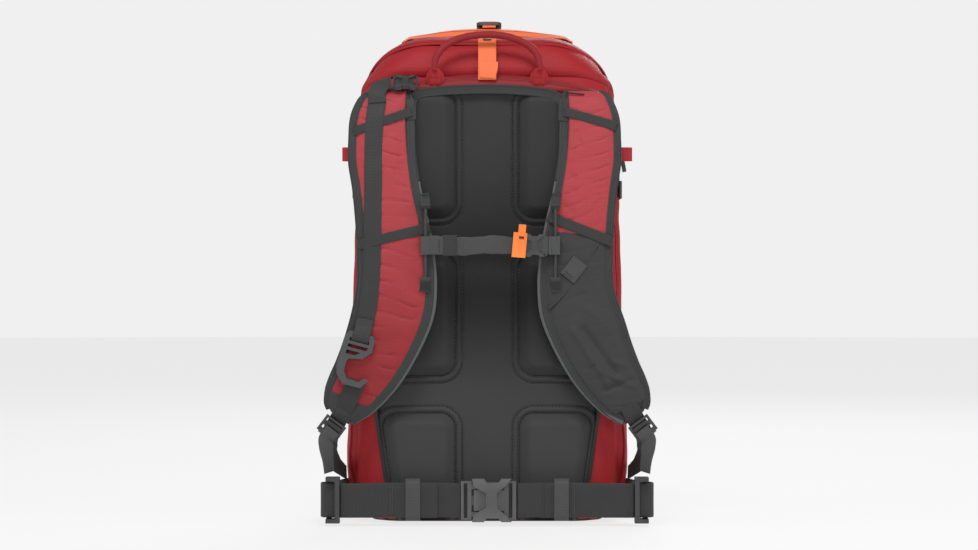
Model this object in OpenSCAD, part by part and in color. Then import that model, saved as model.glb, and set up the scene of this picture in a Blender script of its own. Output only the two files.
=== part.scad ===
// Ski touring backpack of about 28 litres: a bag with a zipped lid, a padded back panel on a
// frame sheet, two shoulder straps joined by a chest strap, and a webbing hip belt.
// The wearer's side faces -Y, +X is to the right seen from there, and the base stands on Z = 0.

/* [Bag] */
// Width of the bag at the middle of its height
pack_width = 300; // [290:1:310]
// Thickness of the padded fabric walls
wall = 2.5; // [2:0.5:3]
// Slope of the lid opening, in mm of drop for each mm towards the front
rim_slope = 0.6; // [0.55:0.01:0.65]

/* [Back system] */
// Thickness of the moulded back board
board_thick = 7.4; // [6:0.1:7.4]
// How far the back pads stand out of the board
pad_thick = 9.6; // [7:0.1:9.6]
// Thickness of a shoulder strap
strap_thick = 12; // [9:0.5:12]

/* [Webbing and hardware] */
// Width of the narrow webbing
web = 20; // [18:0.5:20]
// Thickness of the webbing
web_thick = 1.5; // [1:0.1:1.6]
// Width of the hip belt webbing
belt_web = 38; // [36:1:38]
// Length of the straight sternum strap rails
rail_length = 76; // [74:1:80]

/* [Hidden] */
$fn = 32;

// Colours
red = [0.55, 0.10, 0.12];
rose = [0.66, 0.22, 0.24];
dark = [0.16, 0.16, 0.16];
grey = [0.25, 0.25, 0.25];
steel = [0.42, 0.42, 0.42];
orange = [0.93, 0.42, 0.16];

// Bag sections from the base to the rim. Each is height at y = 0, slope, half width, back, front,
// and the corner radii at the back and the front.
half = pack_width / 2;
bag = [
    [0, 0, half - 31, -66, 78, 26, 40],
    [5, 0, half - 16, -76, 90, 28, 44],
    [14, 0, half - 4, -82, 99, 30, 48],
    [30, 0, half + 3, -84, 105, 32, 52],
    [70, 0, half + 7, -84, 109, 34, 56],
    [160, 0, half + 4, -84, 111, 34, 58],
    [260, 0, half, -84, 110, 34, 58],
    [340, 0.08, half - 1, -84, 108, 34, 58],
    [400, 0.20, half - 2, -84, 106, 34, 56],
    [440, 0.35, half - 5, -83, 104, 40, 54],
    [465, 0.48, half - 9, -78, 101, 54, 52],
    [489, rim_slope, half - 14, -64, 98, 75, 50]];
inner_lift = [wall, 0.9 * wall, 0.5 * wall, 0, 0, 0, 0, 0, 0, 0, 0, 0];
// Lid sections from its rim to its crown, in the same terms.
lid = [
    [491.5, rim_slope, half - 14, -64, 98, 75, 50],
    [502.5, 0.56, half - 19, -59, 92, 72, 52],
    [515, 0.48, half - 30, -50, 82, 62, 52],
    [526, 0.38, half - 47, -38, 67, 48, 46],
    [534.3, 0.28, half - 72, -24, 50, 34, 34],
    [538.8, 0.20, half - 105, -8, 36, 20, 20]];
corner_steps = 6;
rim = len(bag) - 1;
// Places on a section's outline where the panels are sewn together
seam_front_right = 3;
seam_front_left = 10;
seam_back_left = 16;
seam_back_right = 25;
outline_points = 4 * (corner_steps + 1);

board_back = -84.3;
board_face = board_back - board_thick;
pad_face = board_face - 0.3 - pad_thick;
pad_inner = 31;

// Shoulder strap stations of the left strap: outer x and z, inner x and z, back face y, thickness
strap = [
    [-127, 474, -84, 474, -98, 0.42],
    [-139, 466, -83, 464, -102.6, 0.66],
    [-148, 446, -82, 440, -104.5, 0.92],
    [-150, 420, -80.5, 416, -107, 1],
    [-150, 395, -78, 395, -109, 1],
    [-145.5, 366, -72.5, 362, -111, 1],
    [-142, 328, -65, 330, -112, 1],
    [-140.5, 292, -58.5, 292, -112, 1],
    [-141, 262, -56.5, 260, -112, 1],
    [-146, 234, -59.5, 229, -112, 1],
    [-154, 205, -71, 199, -111, 1],
    [-163, 180, -88, 168, -110, 1],
    [-170.5, 163, -104, 146, -109, 0.95],
    [-175.5, 148, -124, 126, -108, 0.85],
    [-176, 135, -141, 115, -107, 0.7],
    [-171, 124, -152, 110, -106, 0.55]];

// Ladder lock pose: turned about Y so that its bars lie across the strap's lower end
lock_turn = 36.87;
lock_pivot = [-163.5, -109, 114.5];
lock_length = 21;

belt_z = 27.5;
belt_y = -117;
buckle_thick = 9;
sternum_z = 305;
sternum_y = -132.6;
rail_left = -67;
rail_right = 74;
rail_y = -131.1;
rail_z = 270;
rail_r = 2;

// Helpers

function mix(a, b, t) = a + (b - a) * t;

function corner(cx, cy, r, start) =
    [for (i = [0:corner_steps]) let (a = start + 90 * i / corner_steps)
        [cx + r * cos(a), cy + r * sin(a)]];

function outline(hw, yb, yf, rb, rf) = concat(
    corner(hw - rf, yf - rf, rf, 0), corner(rf - hw, yf - rf, rf, 90),
    corner(rb - hw, yb + rb, rb, 180), corner(hw - rb, yb + rb, rb, 270));

// The outline of section s in space, grown outwards and lifted
function ring(s, grow = 0, lift = 0) =
    [for (p = outline(s[2] + grow, s[3] - grow, s[4] + grow, s[5] + grow, s[6] + grow))
        [p[0], p[1], s[0] - s[1] * p[1] + lift]];

function pick(row, from, to) = [for (i = [from:to]) row[i % outline_points]];

function centre(points) = [for (p = points) 1] * points / len(points);

// A solid through closed rings, which run counterclockwise seen from the end they run towards
module loft(rings) {
    n = len(rings[0]);
    m = len(rings);
    points = concat([for (r = rings) each r], [centre(rings[0]), centre(rings[m - 1])]);
    faces = concat(
        [for (j = [0:m - 2], i = [0:n - 1]) [j * n + i, (j + 1) * n + (i + 1) % n, j * n + (i + 1) % n]],
        [for (j = [0:m - 2], i = [0:n - 1]) [j * n + i, (j + 1) * n + i, (j + 1) * n + (i + 1) % n]],
        [for (i = [0:n - 1]) [m * n, i, (i + 1) % n]],
        [for (i = [0:n - 1]) [m * n + 1, (m - 1) * n + (i + 1) % n, (m - 1) * n + i]]);
    polyhedron(points, faces);
}

// A solid between two grids of points, outer and inner
module sheet(outer, inner) {
    rows = len(outer);
    cols = len(outer[0]);
    b = rows * cols;
    points = concat([for (r = outer) each r], [for (r = inner) each r]);
    last = cols - 1;
    top = (rows - 1) * cols;
    faces = concat(
        [for (j = [0:rows - 2], i = [0:cols - 2]) let (a = j * cols + i) each [
            [a, a + cols + 1, a + 1], [a, a + cols, a + cols + 1],
            [b + a, b + a + 1, b + a + cols + 1], [b + a, b + a + cols + 1, b + a + cols]]],
        [for (i = [0:cols - 2]) each [
            [i, i + 1, b + i + 1], [i, b + i + 1, b + i],
            [top + i, b + top + i + 1, top + i + 1], [top + i, b + top + i, b + top + i + 1]]],
        [for (j = [0:rows - 2]) let (p = j * cols, q = p + last) each [
            [p + cols, p, b + p], [p + cols, b + p, b + p + cols],
            [q, q + cols, b + q + cols], [q, b + q + cols, b + q]]]);
    polyhedron(points, faces);
}

// A strip of webbing through points, each with the direction that its width runs in
module strip(path, side, width, thick) {
    n = len(path) - 1;
    normals = [for (i = [0:n]) let (
        t = path[min(i + 1, n)] - path[max(i - 1, 0)], v = cross(side[i], t)) v / norm(v)];
    function row(i, h) = [for (u = [1, -1])
        path[i] + side[i] * u * width / 2 + normals[i] * h * thick / 2];
    sheet([for (i = [0:n]) row(i, -1)], [for (i = [0:n]) row(i, 1)]);
}

function normal2(path, i) = let (
    n = len(path) - 1, d = path[min(i + 1, n)] - path[max(i - 1, 0)]) [-d[1], d[0]] / norm(d);

// The outline of a flat band of even thickness along a path
function band(path, thick) = concat(
    [for (i = [0:len(path) - 1]) path[i] + normal2(path, i) * thick / 2],
    [for (i = [len(path) - 1:-1:0]) path[i] - normal2(path, i) * thick / 2]);

// Lays a flat shape, drawn as x and z, between two y levels
module upright(y_low, y_high) {
    translate([0, y_high, 0]) rotate([90, 0, 0]) linear_extrude(y_high - y_low) children();
}

function rounded_box(x0, z0, x1, z1, r) =
    [for (c = [[x1 - r, z1 - r, 0], [x0 + r, z1 - r, 90], [x0 + r, z0 + r, 180], [x1 - r, z0 + r, 270]],
        i = [0:4]) let (a = c[2] + 22.5 * i) [c[0] + r * cos(a), c[1] + r * sin(a)]];

module mirrored() {
    mirror([1, 0, 0]) children();
}

module both_sides() {
    children();
    mirrored() children();
}

// Bag

module bag_panel(from, to) {
    sheet([for (s = bag) pick(ring(s), from, to)],
        [for (j = [0:rim]) pick(ring(bag[j], j == 0 ? 0 : -wall, inner_lift[j]), from, to)]);
}

module front_panel() color(red) bag_panel(seam_front_right, seam_front_left);

module side_panel_left() color(red) bag_panel(seam_front_left, seam_back_left);

module side_panel_right() color(red) bag_panel(seam_back_right, outline_points + seam_front_right);

module back_wall() color(red) bag_panel(seam_back_left, seam_back_right);

module base_panel() color(dark) linear_extrude(wall) polygon([for (p = ring(bag[0])) [p[0], p[1]]]);

module tool_pocket() {
    sections = [[60, 78, 117], [70, 90, 126], [92, 99, 134], [200, 100, 134],
        [352, 98, 134], [382, 90, 128], [396, 76, 117]];
    color(red) loft([for (s = sections)
        [for (p = outline(s[1], 111.4, s[2], 2, min(18, s[2] - 113.5))) [p[0], p[1], s[0]]]]);
}

// Zips: a band of tape on each side of the opening, and a slider with its pull

module zip_band(low, high, from_t, to_t) {
    function row(t, grow) = [for (i = [seam_front_left:outline_points + seam_front_right])
        mix(ring(low, grow)[i % outline_points], ring(high, grow)[i % outline_points], t)];
    sheet([for (t = [from_t, to_t]) row(t, 1.6)], [for (t = [from_t, to_t]) row(t, 0.2)]);
}

module main_zip_lower() color(dark) zip_band(bag[rim - 1], bag[rim], 0.72, 1);

module main_zip_upper() color(dark) zip_band(lid[0], lid[1], 0, 0.4);

// A ring through an eye, with a cord and a tab below it, hanging down from the origin
module zip_puller(cord, tab) {
    translate([0, 0, -3]) rotate([0, 90, 0]) rotate_extrude() translate([3, 0]) circle(r = 0.7);
    translate([0, 0, -cord - 5.6]) cylinder(h = cord, r = 1.4);
    translate([-2.2, -3.5, -cord - tab - 5.5]) cube([4.4, 7, tab]);
}

// The eye of a slider: a plate with a hole for the ring
module zip_eye() difference() {
    translate([-2.8, -0.8, -2]) cube([4.8, 1.6, 4]);
    translate([0, 1, 0]) rotate([90, 0, 0]) cylinder(h = 2, r = 1.1);
}

// Main slider on the straight right side of the opening; its long pull lies down the bag's side
slider_x = half - 14 + 4.4;
slider_y = 44;
slider_z = 490.2 - rim_slope * slider_y;

module main_zip_slider() color(grey) translate([slider_x, slider_y, slider_z]) {
    rotate([-atan(rim_slope), 0, 0]) translate([-1.5, -6, -4]) cube([3, 12, 8]);
    translate([4, 0, 0]) zip_eye();
}

module main_zip_pull() color(dark) translate([slider_x + 4, slider_y, slider_z])
    rotate([0, -10.5, 0]) zip_puller(54, 14);

tool_zip_x = 62;
tool_zip_top = 345;

module tool_zip() color(dark) translate([tool_zip_x - 6, 134.2, 96]) cube([12, 1.2, 252]);

module tool_zip_slider() color(grey) translate([tool_zip_x, 137.2, tool_zip_top]) {
    translate([-4, -1.5, -6]) cube([8, 3, 12]);
    translate([0, 4, 0]) rotate([0, 0, 90]) zip_eye();
}

module tool_zip_pull() color(orange) translate([tool_zip_x, 141.2, tool_zip_top])
    rotate([0, 0, 90]) zip_puller(16, 12);

// Lid

module lid_shell() color(red) loft(concat(
    [for (j = [len(lid) - 1:-1:0]) ring(lid[j], -wall, j > 2 ? -wall : j > 0 ? -wall / 2 : 0)],
    [for (s = lid) ring(s)]));

// Padded band over the crown of the lid. Each row is y, height of its underside, thickness, and
// how far it drops at the ends
band_rows = [[30, 534.9, 0.8, 7.5], [24, 536.4, 4.6, 7.5], [10, 539.2, 9.5, 7.2], [-4, 541.6, 10, 6],
    [-18, 542.2, 7, 4], [-26, 541.9, 0.8, 3.2]];
module lid_band() {
    xs = [for (i = [-6:6]) 95 * i / 6];
    function row(x, t) = [for (r = band_rows) [x, r[0], r[1] - r[3] * pow(x / 95, 2)
        + t * r[2] * (1 - 0.9 * pow(abs(x) / 95, 2.5))]];
    color(orange) sheet([for (x = xs) row(x, 1)], [for (x = xs) row(x, 0)]);
}

// Hook buckle on the crown that the lid strap clips into
module lid_buckle() color(dark) translate([2, -4, 554.3]) rotate([-12, 0, 0]) difference() {
    translate([-14, -11, -1.4]) linear_extrude(3.6)
        polygon([[0, 4], [4, 0], [24, 0], [28, 4], [28, 9], [24, 12], [24, 18], [28, 22], [4, 22],
            [0, 22], [4, 18], [4, 12], [0, 9]]);
    translate([-web / 2 + 1, 2, -2]) cube([web - 2, 3, 8]);
    translate([-web / 2 + 1, -7, -2]) cube([web - 2, 3, 8]);
}

// Webbing tab behind the haul handle, sewn above the yoke
module lid_strap() color(orange) strip(
    [[0, -95.2, 489], [0, -92.8, 500], [0, -85, 515], [0, -76, 529], [0, -69.5, 535.5]],
    [for (i = [0:4]) [1, 0, 0]], web, 2.2);

// Haul handle: a fabric tube from one anchor to the other
handle_pivot = [0, -97, 497];
module haul_handle() {
    ends = 58;
    rise = 41;
    path = [for (a = [0:15:180]) [-ends * cos(a), -98 + 11 * sin(a), 497 + rise * pow(sin(a), 0.75)]];
    n = len(path) - 1;
    color(rose) loft([for (i = [0:n]) let (
        t = path[min(i + 1, n)] - path[max(i - 1, 0)], u = t / norm(t),
        s = cross(u, [0, -1, 0]) / norm(cross(u, [0, -1, 0])), v = cross(u, s))
        [for (k = [0:7]) path[i] + 3.9 * s * cos(45 * k) + 3.2 * v * sin(45 * k)]]);
}

// Back system

function board_half(z) = z < 49 ? mix(100, 113, z / 49) : z < 120 ? mix(113, 123, (z - 49) / 71)
    : z < 300 ? mix(123, 129, (z - 120) / 180) : mix(129, 122, (z - 300) / 170);

module back_board() {
    zs = [4, 20, 49, 85, 120, 210, 300, 400, 460];
    side = [for (z = zs) [board_half(z), z]];
    color(dark) upright(board_face, board_back) polygon(concat(side, [[112, 470.5], [-112, 470.5]],
        [for (i = [len(side) - 1:-1:0]) [-side[i][0], side[i][1]]]));
}

module back_pad(z0, z1, x_low, x_high) color(grey) upright(pad_face, board_face - 0.3) polygon(concat(
    [for (i = [0:4]) let (a = 270 + 22.5 * i) [-pad_inner - 14 + 14 * cos(a), z0 + 14 + 14 * sin(a)]],
    [for (i = [0:4]) let (a = 22.5 * i) [-pad_inner - 14 + 14 * cos(a), z1 - 14 + 14 * sin(a)]],
    [for (i = [0:4]) let (a = 90 + 22.5 * i) [-x_high + 10 + 10 * cos(a), z1 - 10 + 10 * sin(a)]],
    [for (i = [0:4]) let (a = 180 + 22.5 * i) [-x_low + 10 + 10 * cos(a), z0 + 10 + 10 * sin(a)]]));

module back_pad_upper_left() back_pad(337, 464, 118, 112);
module back_pad_upper_right() mirrored() back_pad_upper_left();
module back_pad_middle_left() back_pad(163, 297, 116, 119);
module back_pad_middle_right() mirrored() back_pad_middle_left();
module back_pad_lower_left() back_pad(12, 124, 96, 114);
module back_pad_lower_right() mirrored() back_pad_lower_left();

module frame_sheet() color("white") upright(-80.6, -79) polygon(rounded_box(-112, 30, 112, 445, 25));

module frame_stays() color("silver") both_sides()
    upright(-78.6, -75.6) polygon(rounded_box(-72, 38, -52, 437, 4));

// Fabric band that the shoulder straps are sewn to, with the female carry buckle's tab
module yoke() {
    xs = [for (i = [-8:8]) 16 * i];
    color(rose) upright(-93.5, -84.6) polygon(concat(
        [for (x = xs) [x, 491 - 17 * pow(x / 128, 2)]],
        [for (i = [len(xs) - 1:-1:0]) [xs[i], 476.5 - 5 * pow(xs[i] / 128, 2)]]));
}

// Loops and straps of the bag

// Folded tabs high on the sides, and ice axe loops low on the front
module gear_loops() {
    color(red) both_sides() translate([-half - 13, -22, 401])
        linear_extrude(16) polygon(band([[14, 0], [4.5, 1], [0, 4], [4.5, 7], [14, 8]], 1.8));
    color(dark) both_sides() translate([-52, 107.8, 37])
        linear_extrude(web) polygon(band([[-14, 0.9], [-9, 7], [0, 10], [9, 7], [14, 0.9]], web_thick));
}

// Webbing strap round the upper part of each side, with its buckle
module side_webbing() color(dark) both_sides() {
    line = pick(ring(bag[7], 1.2), seam_front_left - 1, seam_back_left - 2);
    translate([0, 0, 358]) linear_extrude(web) polygon(band([for (p = line) [p[0], p[1]]], web_thick));
    // ladder lock, on the rounded front corner
    translate([bag[7][6] - bag[7][2], bag[7][4] - bag[7][6], 355.5]) rotate(-32)
        translate([-bag[7][6] - 6.6, -11, 0]) difference() {
        cube([4.2, 22, web + 5]);
        translate([-1, 4, 2.5]) cube([7, 4, web]);
        translate([-1, 13, 2.5]) cube([7, 4, web]);
    }
}

// Buckles. A side-release buckle for webbing of 38 mm, lying in x and z with its middle at the
// origin: the female half on the right, the male half's prongs going in from the left.

module release_body_shape() polygon([[-19, 23.5], [-6, 23.5], [-3, 19.5], [10, 19.5], [13, 23.5],
    [24, 23.5], [18, 16], [8.5, 8.5], [8.5, -8.5], [18, -16], [24, -23.5], [13, -23.5], [10, -19.5],
    [-3, -19.5], [-6, -23.5], [-19, -23.5], [-17, -15], [-4, -8], [-4, 8], [-17, 15]]);

module release_female() {
    difference() {
        union() {
            upright(-buckle_thick / 2, buckle_thick / 2) release_body_shape();
            upright(-2, 4.5) polygon([[-17, 15], [-17, -15], [18, -16], [18, 16]]);
            upright(-1.8, 2.2) polygon([[17, 21], [17, -21], [29, -21], [29, 21]]);
        }
        for (z = [-18.5, 11.5]) translate([-20, -2.8, z]) cube([36, 5.6, 7]);
        translate([-20, -0.8, -6]) cube([34, 2.6, 12]);
        translate([21, -4, -19]) cube([4, 8, 38]);
    }
}

module release_male() {
    difference() {
        upright(-3, 3) polygon([[-31, 21], [-31, -21], [-19.6, -21], [-19.6, 21]]);
        translate([-28, -5, -19]) cube([4, 10, 38]);
    }
    for (z = [-17.5, 12.5]) translate([-20, -2.2, z]) cube([34, 4.4, 5]);
    translate([-20, -0.4, -5]) cube([32, 1.8, 10]);
}

hip_buckle = [2.5, belt_y - 3, belt_z];
module hip_buckle_female() color(steel) translate(hip_buckle) release_female();
module hip_buckle_male() color(steel) translate(hip_buckle) release_male();

small = 0.52;
// The carry buckle leans back over the yoke's shoulder
carry_buckle = [-91, -103, 484];
carry_lean = -55;
module carry_buckle_female() color(dark) translate(carry_buckle) rotate([carry_lean, 0, 0])
    scale(small) release_female();
module carry_buckle_male() color(dark) translate(carry_buckle) rotate([carry_lean, 0, 0])
    scale(small) release_male();

sternum_buckle = [50, sternum_y - 0.5, sternum_z];
module sternum_buckle_female() color(dark) translate(sternum_buckle) scale(small) release_female();
module sternum_buckle_male() color(dark) translate(sternum_buckle) scale(small) release_male();

// Pealess whistle clipped to the male half of the chest buckle
module whistle() color(orange) translate([33.8, sternum_y - 5.8, sternum_z - 13]) rotate([0, 5, 0])
    difference() {
        union() {
            translate([-7.5, -5, 0]) linear_extrude(27) polygon([[1.5, 0], [13.5, 0], [15, 1.5], [15, 7.5],
                [0, 7.5], [0, 1.5]]);
            translate([-2.5, -4, 26.9]) cube([8, 6, 9]);
        }
        translate([-1.2, -2.6, 12]) cube([5.4, 3.2, 25]);
        translate([-1.2, -6, 20]) cube([5.4, 5, 3]);
    }

// Chest strap

module sternum_rail(x) color(grey) {
    translate([x, rail_y, rail_z]) cylinder(h = rail_length, r = rail_r);
    for (z = [rail_z - 3, rail_z + rail_length]) translate([x - 4, rail_y - 2.5, z]) cube([8, 7.2, 3]);
}

module sternum_rail_left() sternum_rail(rail_left);
module sternum_rail_right() sternum_rail(rail_right);

// Clip that slides on a rail, with a tab towards the middle for the webbing
module sternum_clip() color(dark) {
    difference() {
        translate([-5, -4, -10]) cube([9, 6.6, 20]);
        translate([0, 0, -11]) cylinder(h = 22, r = rail_r + 0.5);
    }
    translate([4, -3.5, -10]) cube([3, 3, 20]);
}

module sternum_clip_left() translate([rail_left, rail_y, sternum_z]) sternum_clip();
module sternum_clip_right() translate([rail_right, rail_y, sternum_z]) mirrored() sternum_clip();

module sternum_webbing() color(grey) {
    translate([rail_left + 7.2, sternum_y - web_thick / 2, sternum_z - web / 2])
        cube([33 - rail_left - 7.2, web_thick, web]);
    translate([-47, sternum_y - 2.6, sternum_z - web / 2 - 1]) cube([13, 1.6, web + 2]);
}

// Shoulder straps

// A point of a strap's cross section: u runs from the outer edge to the inner one
function strap_point(s, u, y) = [mix(s[0], s[2], u), y, mix(s[1], s[3], u)];
function strap_face(s) = s[4] - strap_thick * s[5];

module strap_pad_left() color(dark) loft([for (i = [len(strap) - 1:-1:0]) let (
    s = strap[i], m = (s[4] + strap_face(s)) / 2)
    [strap_point(s, 0, m), strap_point(s, 0.05, strap_face(s)), strap_point(s, 0.95, strap_face(s)),
        strap_point(s, 1, m), strap_point(s, 0.95, s[4]), strap_point(s, 0.05, s[4])]]);

module strap_pad_right() mirrored() strap_pad_left();

// A layer on the front of the strap between two stations
module strap_layer(first, last, u0, u1, thick) {
    sheet([for (i = [last:-1:first]) [for (u = [u0, u1])
        strap_point(strap[i], u, strap_face(strap[i]) - 0.4 - thick)]],
        [for (i = [last:-1:first]) [for (u = [u0, u1])
            strap_point(strap[i], u, strap_face(strap[i]) - 0.4)]]);
}

module strap_cover_left() color(rose) strap_layer(1, 13, 0.12, 0.86, 1.2);
module strap_cover_right() color(rose) mirrored() strap_layer(1, 6, 0.12, 0.86, 1.2);
module strap_pocket() color(dark) mirrored() strap_layer(7, 13, 0.1, 0.84, 1.8);

// A webbing bar sewn across the left strap
module strap_bar(x0, z0, x1, z1, y0, y1, width) strip(
    [[x0, y0, z0], [mix(x0, x1, 0.2), mix(y0, y1, 0.2) - 2.4, mix(z0, z1, 0.2)],
        [mix(x0, x1, 0.8), mix(y0, y1, 0.8) - 0.7, mix(z0, z1, 0.8)], [x1, y1, z1]],
    [for (i = [0:3]) let (v = [z0 - z1, 0, x1 - x0]) v / norm(v)], width, web_thick);

// The free end of the shoulder webbing, hanging from the ladder lock
module strap_tail() strip([[-176.6, -111, 95.2], [-175.5, -114, 84], [-173.5, -115, 70], [-172.6, -114.4, 57]],
    [[0.8, 0, -0.6], [0.85, 0.4, -0.35], [0.66, 0.75, 0], [0.55, 0.83, 0]], web - 3, web_thick);

module strap_trim_left() color(grey) {
    strap_bar(-141, 431, -84, 451, -121.6, -119.5, 10);
    strap_bar(-132, 308, -64.5, 324, -128.8, -126.8, 11);
    strap_tail();
}

module strap_trim_right() color(grey) mirrored() {
    strap_bar(-136, 436, -86, 451, -121.6, -119.5, 10);
    strap_bar(-132, 310, -68, 336, -127, -126.8, 11);
    strap_tail();
}

// Ski carry webbing on the left strap, with the loop that holds the hook
carry_path = [[-121, -114.2, 460], [-122.6, -118.4, 446], [-123.5, -122, 422], [-124, -123.8, 395],
    [-124, -125.8, 366], [-124.5, -126.8, 328], [-125.5, -126.8, 292], [-128, -126.8, 262],
    [-131, -126.8, 234], [-134.8, -126, 210.3]];
module carry_webbing() color(grey) {
    strip(carry_path, [for (p = carry_path) p[2] < 215 ? [cos(hook_turn), 0, -sin(hook_turn)]
        : [1, 0, p[2] < 250 ? -0.12 : 0]], web, web_thick);
    strip([[-158.5, -121, 121], [-152, -122.6, 135], [-146, -124.2, 148], [-143.5, -125, 153]],
        [for (i = [0:3]) [0.906, 0, -0.423]], web, web_thick);
}

// Its upper end, from the strap's head to the buckle at the yoke
module carry_webbing_top() color(grey) strip(
    [[-121, -114.6, 463], [-121, -113.8, 470.5], [-118.5, -110.3, 477], [-113.5, -106.2, 481.5],
        [-108.6, -103.4, 483.9]],
    [[1, 0, -0.1], [0.93, -0.15, -0.33], [0.72, -0.42, -0.55], [0.4, -0.7, -0.59], [0.1, -0.81, -0.57]],
    web * 0.9, web_thick);

// Open hook that the carry webbing is threaded through
hook_turn = 15;
hook_pivot = [-138, -130.1, 206];
module carry_hook() color(steel) translate(hook_pivot) rotate([0, hook_turn, 0]) upright(-2.2, 2.2)
    difference() {
        union() {
            polygon([[-16, -2], [-12, 4], [14, 4], [17, 0], [17, -14], [12, -19], [9, -23], [-6, -26],
                [-7.5, -30], [-7.5, -40], [-2, -47.5], [11, -48], [17, -42], [21, -44], [15, -54],
                [-5, -54.5], [-14.5, -45], [-17, -35]]);
        }
        polygon([[-10.5, -3], [11.5, -3], [11.5, -6.5], [-10.5, -6.5]]);
        polygon([[-10.5, -10], [11.5, -10], [10.5, -13.5], [-10.5, -13.5]]);
        polygon([[-10.5, -17], [5, -17], [-1, -21], [-10.5, -21]]);
    }

// Ladder lock at the strap's lower end
module ladder_lock() color(dark) translate(lock_pivot) rotate([0, lock_turn, 0]) {
    difference() {
        translate([-web / 2 - 3, -2.5, -lock_length]) cube([web + 6, 5, lock_length - 1.5]);
        for (z = [-7.5, -16.5]) translate([-web / 2, -4, z]) cube([web, 8, 3.5]);
    }
    translate([-web / 2, -4, -lock_length - 1.5]) cube([web, 2.2, 5]);
}

module ladder_lock_left() ladder_lock();
module ladder_lock_right() mirrored() ladder_lock();

// Shoulder webbing from the ladder lock to the lower corner of the bag
module shoulder_webbing() color(grey) strip(
    [[-171, -104.5, 103], [-172.5, -101, 92], [-172.5, -93, 78], [-167.5, -82, 66], [-160.4, -70.5, 58]],
    [[0.8, 0, -0.6], [0.9, 0.1, -0.4], [0.75, 0.65, -0.1], [0.6, 0.8, 0], [0.45, 0.89, 0]], web - 2, web_thick);

module shoulder_webbing_left() shoulder_webbing();
module shoulder_webbing_right() mirrored() shoulder_webbing();

// Hip belt: webbing from the bag's side, round the adjuster's bar, and across to the buckle
adjuster_bar = [-173, -108.5];
module belt_webbing(end) {
    turn = 8.2;
    path = concat([[-156.4, -50], [-159, -63], [-162.5, -80], [-165.5, -94], [-169.5, -99.6]],
        [for (a = [90:30:270]) adjuster_bar + turn * [cos(a), sin(a)]],
        [[-160, belt_y - 0.2], [-120, belt_y], [-80, belt_y], [-50, belt_y - 1], [end, belt_y - 3]]);
    translate([0, 0, belt_z - belt_web / 2]) linear_extrude(belt_web) polygon(band(path, 2));
}

module hip_webbing_left() color(dark) belt_webbing(-29);
module hip_webbing_right() color(dark) mirrored() belt_webbing(-34);

module hip_adjusters() color(steel) both_sides() {
    low = belt_z - 25;
    translate([adjuster_bar[0], adjuster_bar[1], low]) cylinder(h = 50, r = 3);
    for (z = [low, low + 45.5]) translate([-176, -124, z]) cube([15, 18, 4.5]);
    translate([-166, -124, low]) cube([5, 4.2, 50]);
}

// Elastic keepers that hold the belt's free ends
module hip_keepers() color(grey) both_sides() difference() {
    translate([-89, belt_y - 4.2, belt_z - 21]) cube([16, 8, 42]);
    translate([-90, belt_y - 2.8, belt_z - 19.6]) cube([18, 5.2, 39.2]);
}

front_panel();
side_panel_left();
side_panel_right();
back_wall();
base_panel();
back_board();
back_pad_upper_left();
back_pad_upper_right();
back_pad_middle_left();
back_pad_middle_right();
back_pad_lower_left();
back_pad_lower_right();
frame_sheet();
frame_stays();
yoke();
tool_pocket();
tool_zip();
tool_zip_slider();
tool_zip_pull();
main_zip_lower();
main_zip_upper();
main_zip_slider();
main_zip_pull();
lid_shell();
lid_band();
lid_buckle();
lid_strap();
haul_handle();
gear_loops();
side_webbing();
carry_buckle_female();
carry_buckle_male();
carry_webbing_top();
carry_webbing();
carry_hook();
strap_pad_left();
strap_pad_right();
strap_cover_left();
strap_cover_right();
strap_pocket();
strap_trim_left();
strap_trim_right();
sternum_rail_left();
sternum_rail_right();
sternum_clip_left();
sternum_clip_right();
sternum_webbing();
sternum_buckle_female();
sternum_buckle_male();
whistle();
ladder_lock_left();
ladder_lock_right();
shoulder_webbing_left();
shoulder_webbing_right();
hip_webbing_left();
hip_webbing_right();
hip_adjusters();
hip_keepers();
hip_buckle_female();
hip_buckle_male();
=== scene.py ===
"""Looks of the ski backpack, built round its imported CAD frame. Lengths below are in millimetres."""
import math

import bmesh
import bpy
import numpy as np
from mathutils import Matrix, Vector, noise


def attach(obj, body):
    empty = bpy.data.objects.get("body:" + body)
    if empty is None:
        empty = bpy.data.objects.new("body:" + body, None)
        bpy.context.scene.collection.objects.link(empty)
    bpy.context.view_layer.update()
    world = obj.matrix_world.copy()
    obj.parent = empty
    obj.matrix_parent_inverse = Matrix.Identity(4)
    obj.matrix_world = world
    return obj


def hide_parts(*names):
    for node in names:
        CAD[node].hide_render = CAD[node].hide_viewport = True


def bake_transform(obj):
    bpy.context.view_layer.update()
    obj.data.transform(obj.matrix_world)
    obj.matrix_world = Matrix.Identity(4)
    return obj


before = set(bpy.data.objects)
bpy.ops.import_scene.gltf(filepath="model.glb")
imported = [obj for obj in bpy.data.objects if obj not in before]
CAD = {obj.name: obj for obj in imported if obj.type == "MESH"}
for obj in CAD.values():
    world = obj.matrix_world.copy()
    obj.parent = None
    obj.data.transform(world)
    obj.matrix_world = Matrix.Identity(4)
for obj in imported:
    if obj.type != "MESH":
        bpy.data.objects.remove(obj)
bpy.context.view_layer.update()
scene = bpy.context.scene
MM = 0.001
THREAD_PITCH = 0.0007    # of a plain weave, in metres
WAVE_SCALE = 0.31416    # a wave texture's scale that repeats once a metre
SIDES = ((-1, "left"), (1, "right"))
UP = (0, 0, 1)


# ---------------------------------------------------------------- camera, light and floor

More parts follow.
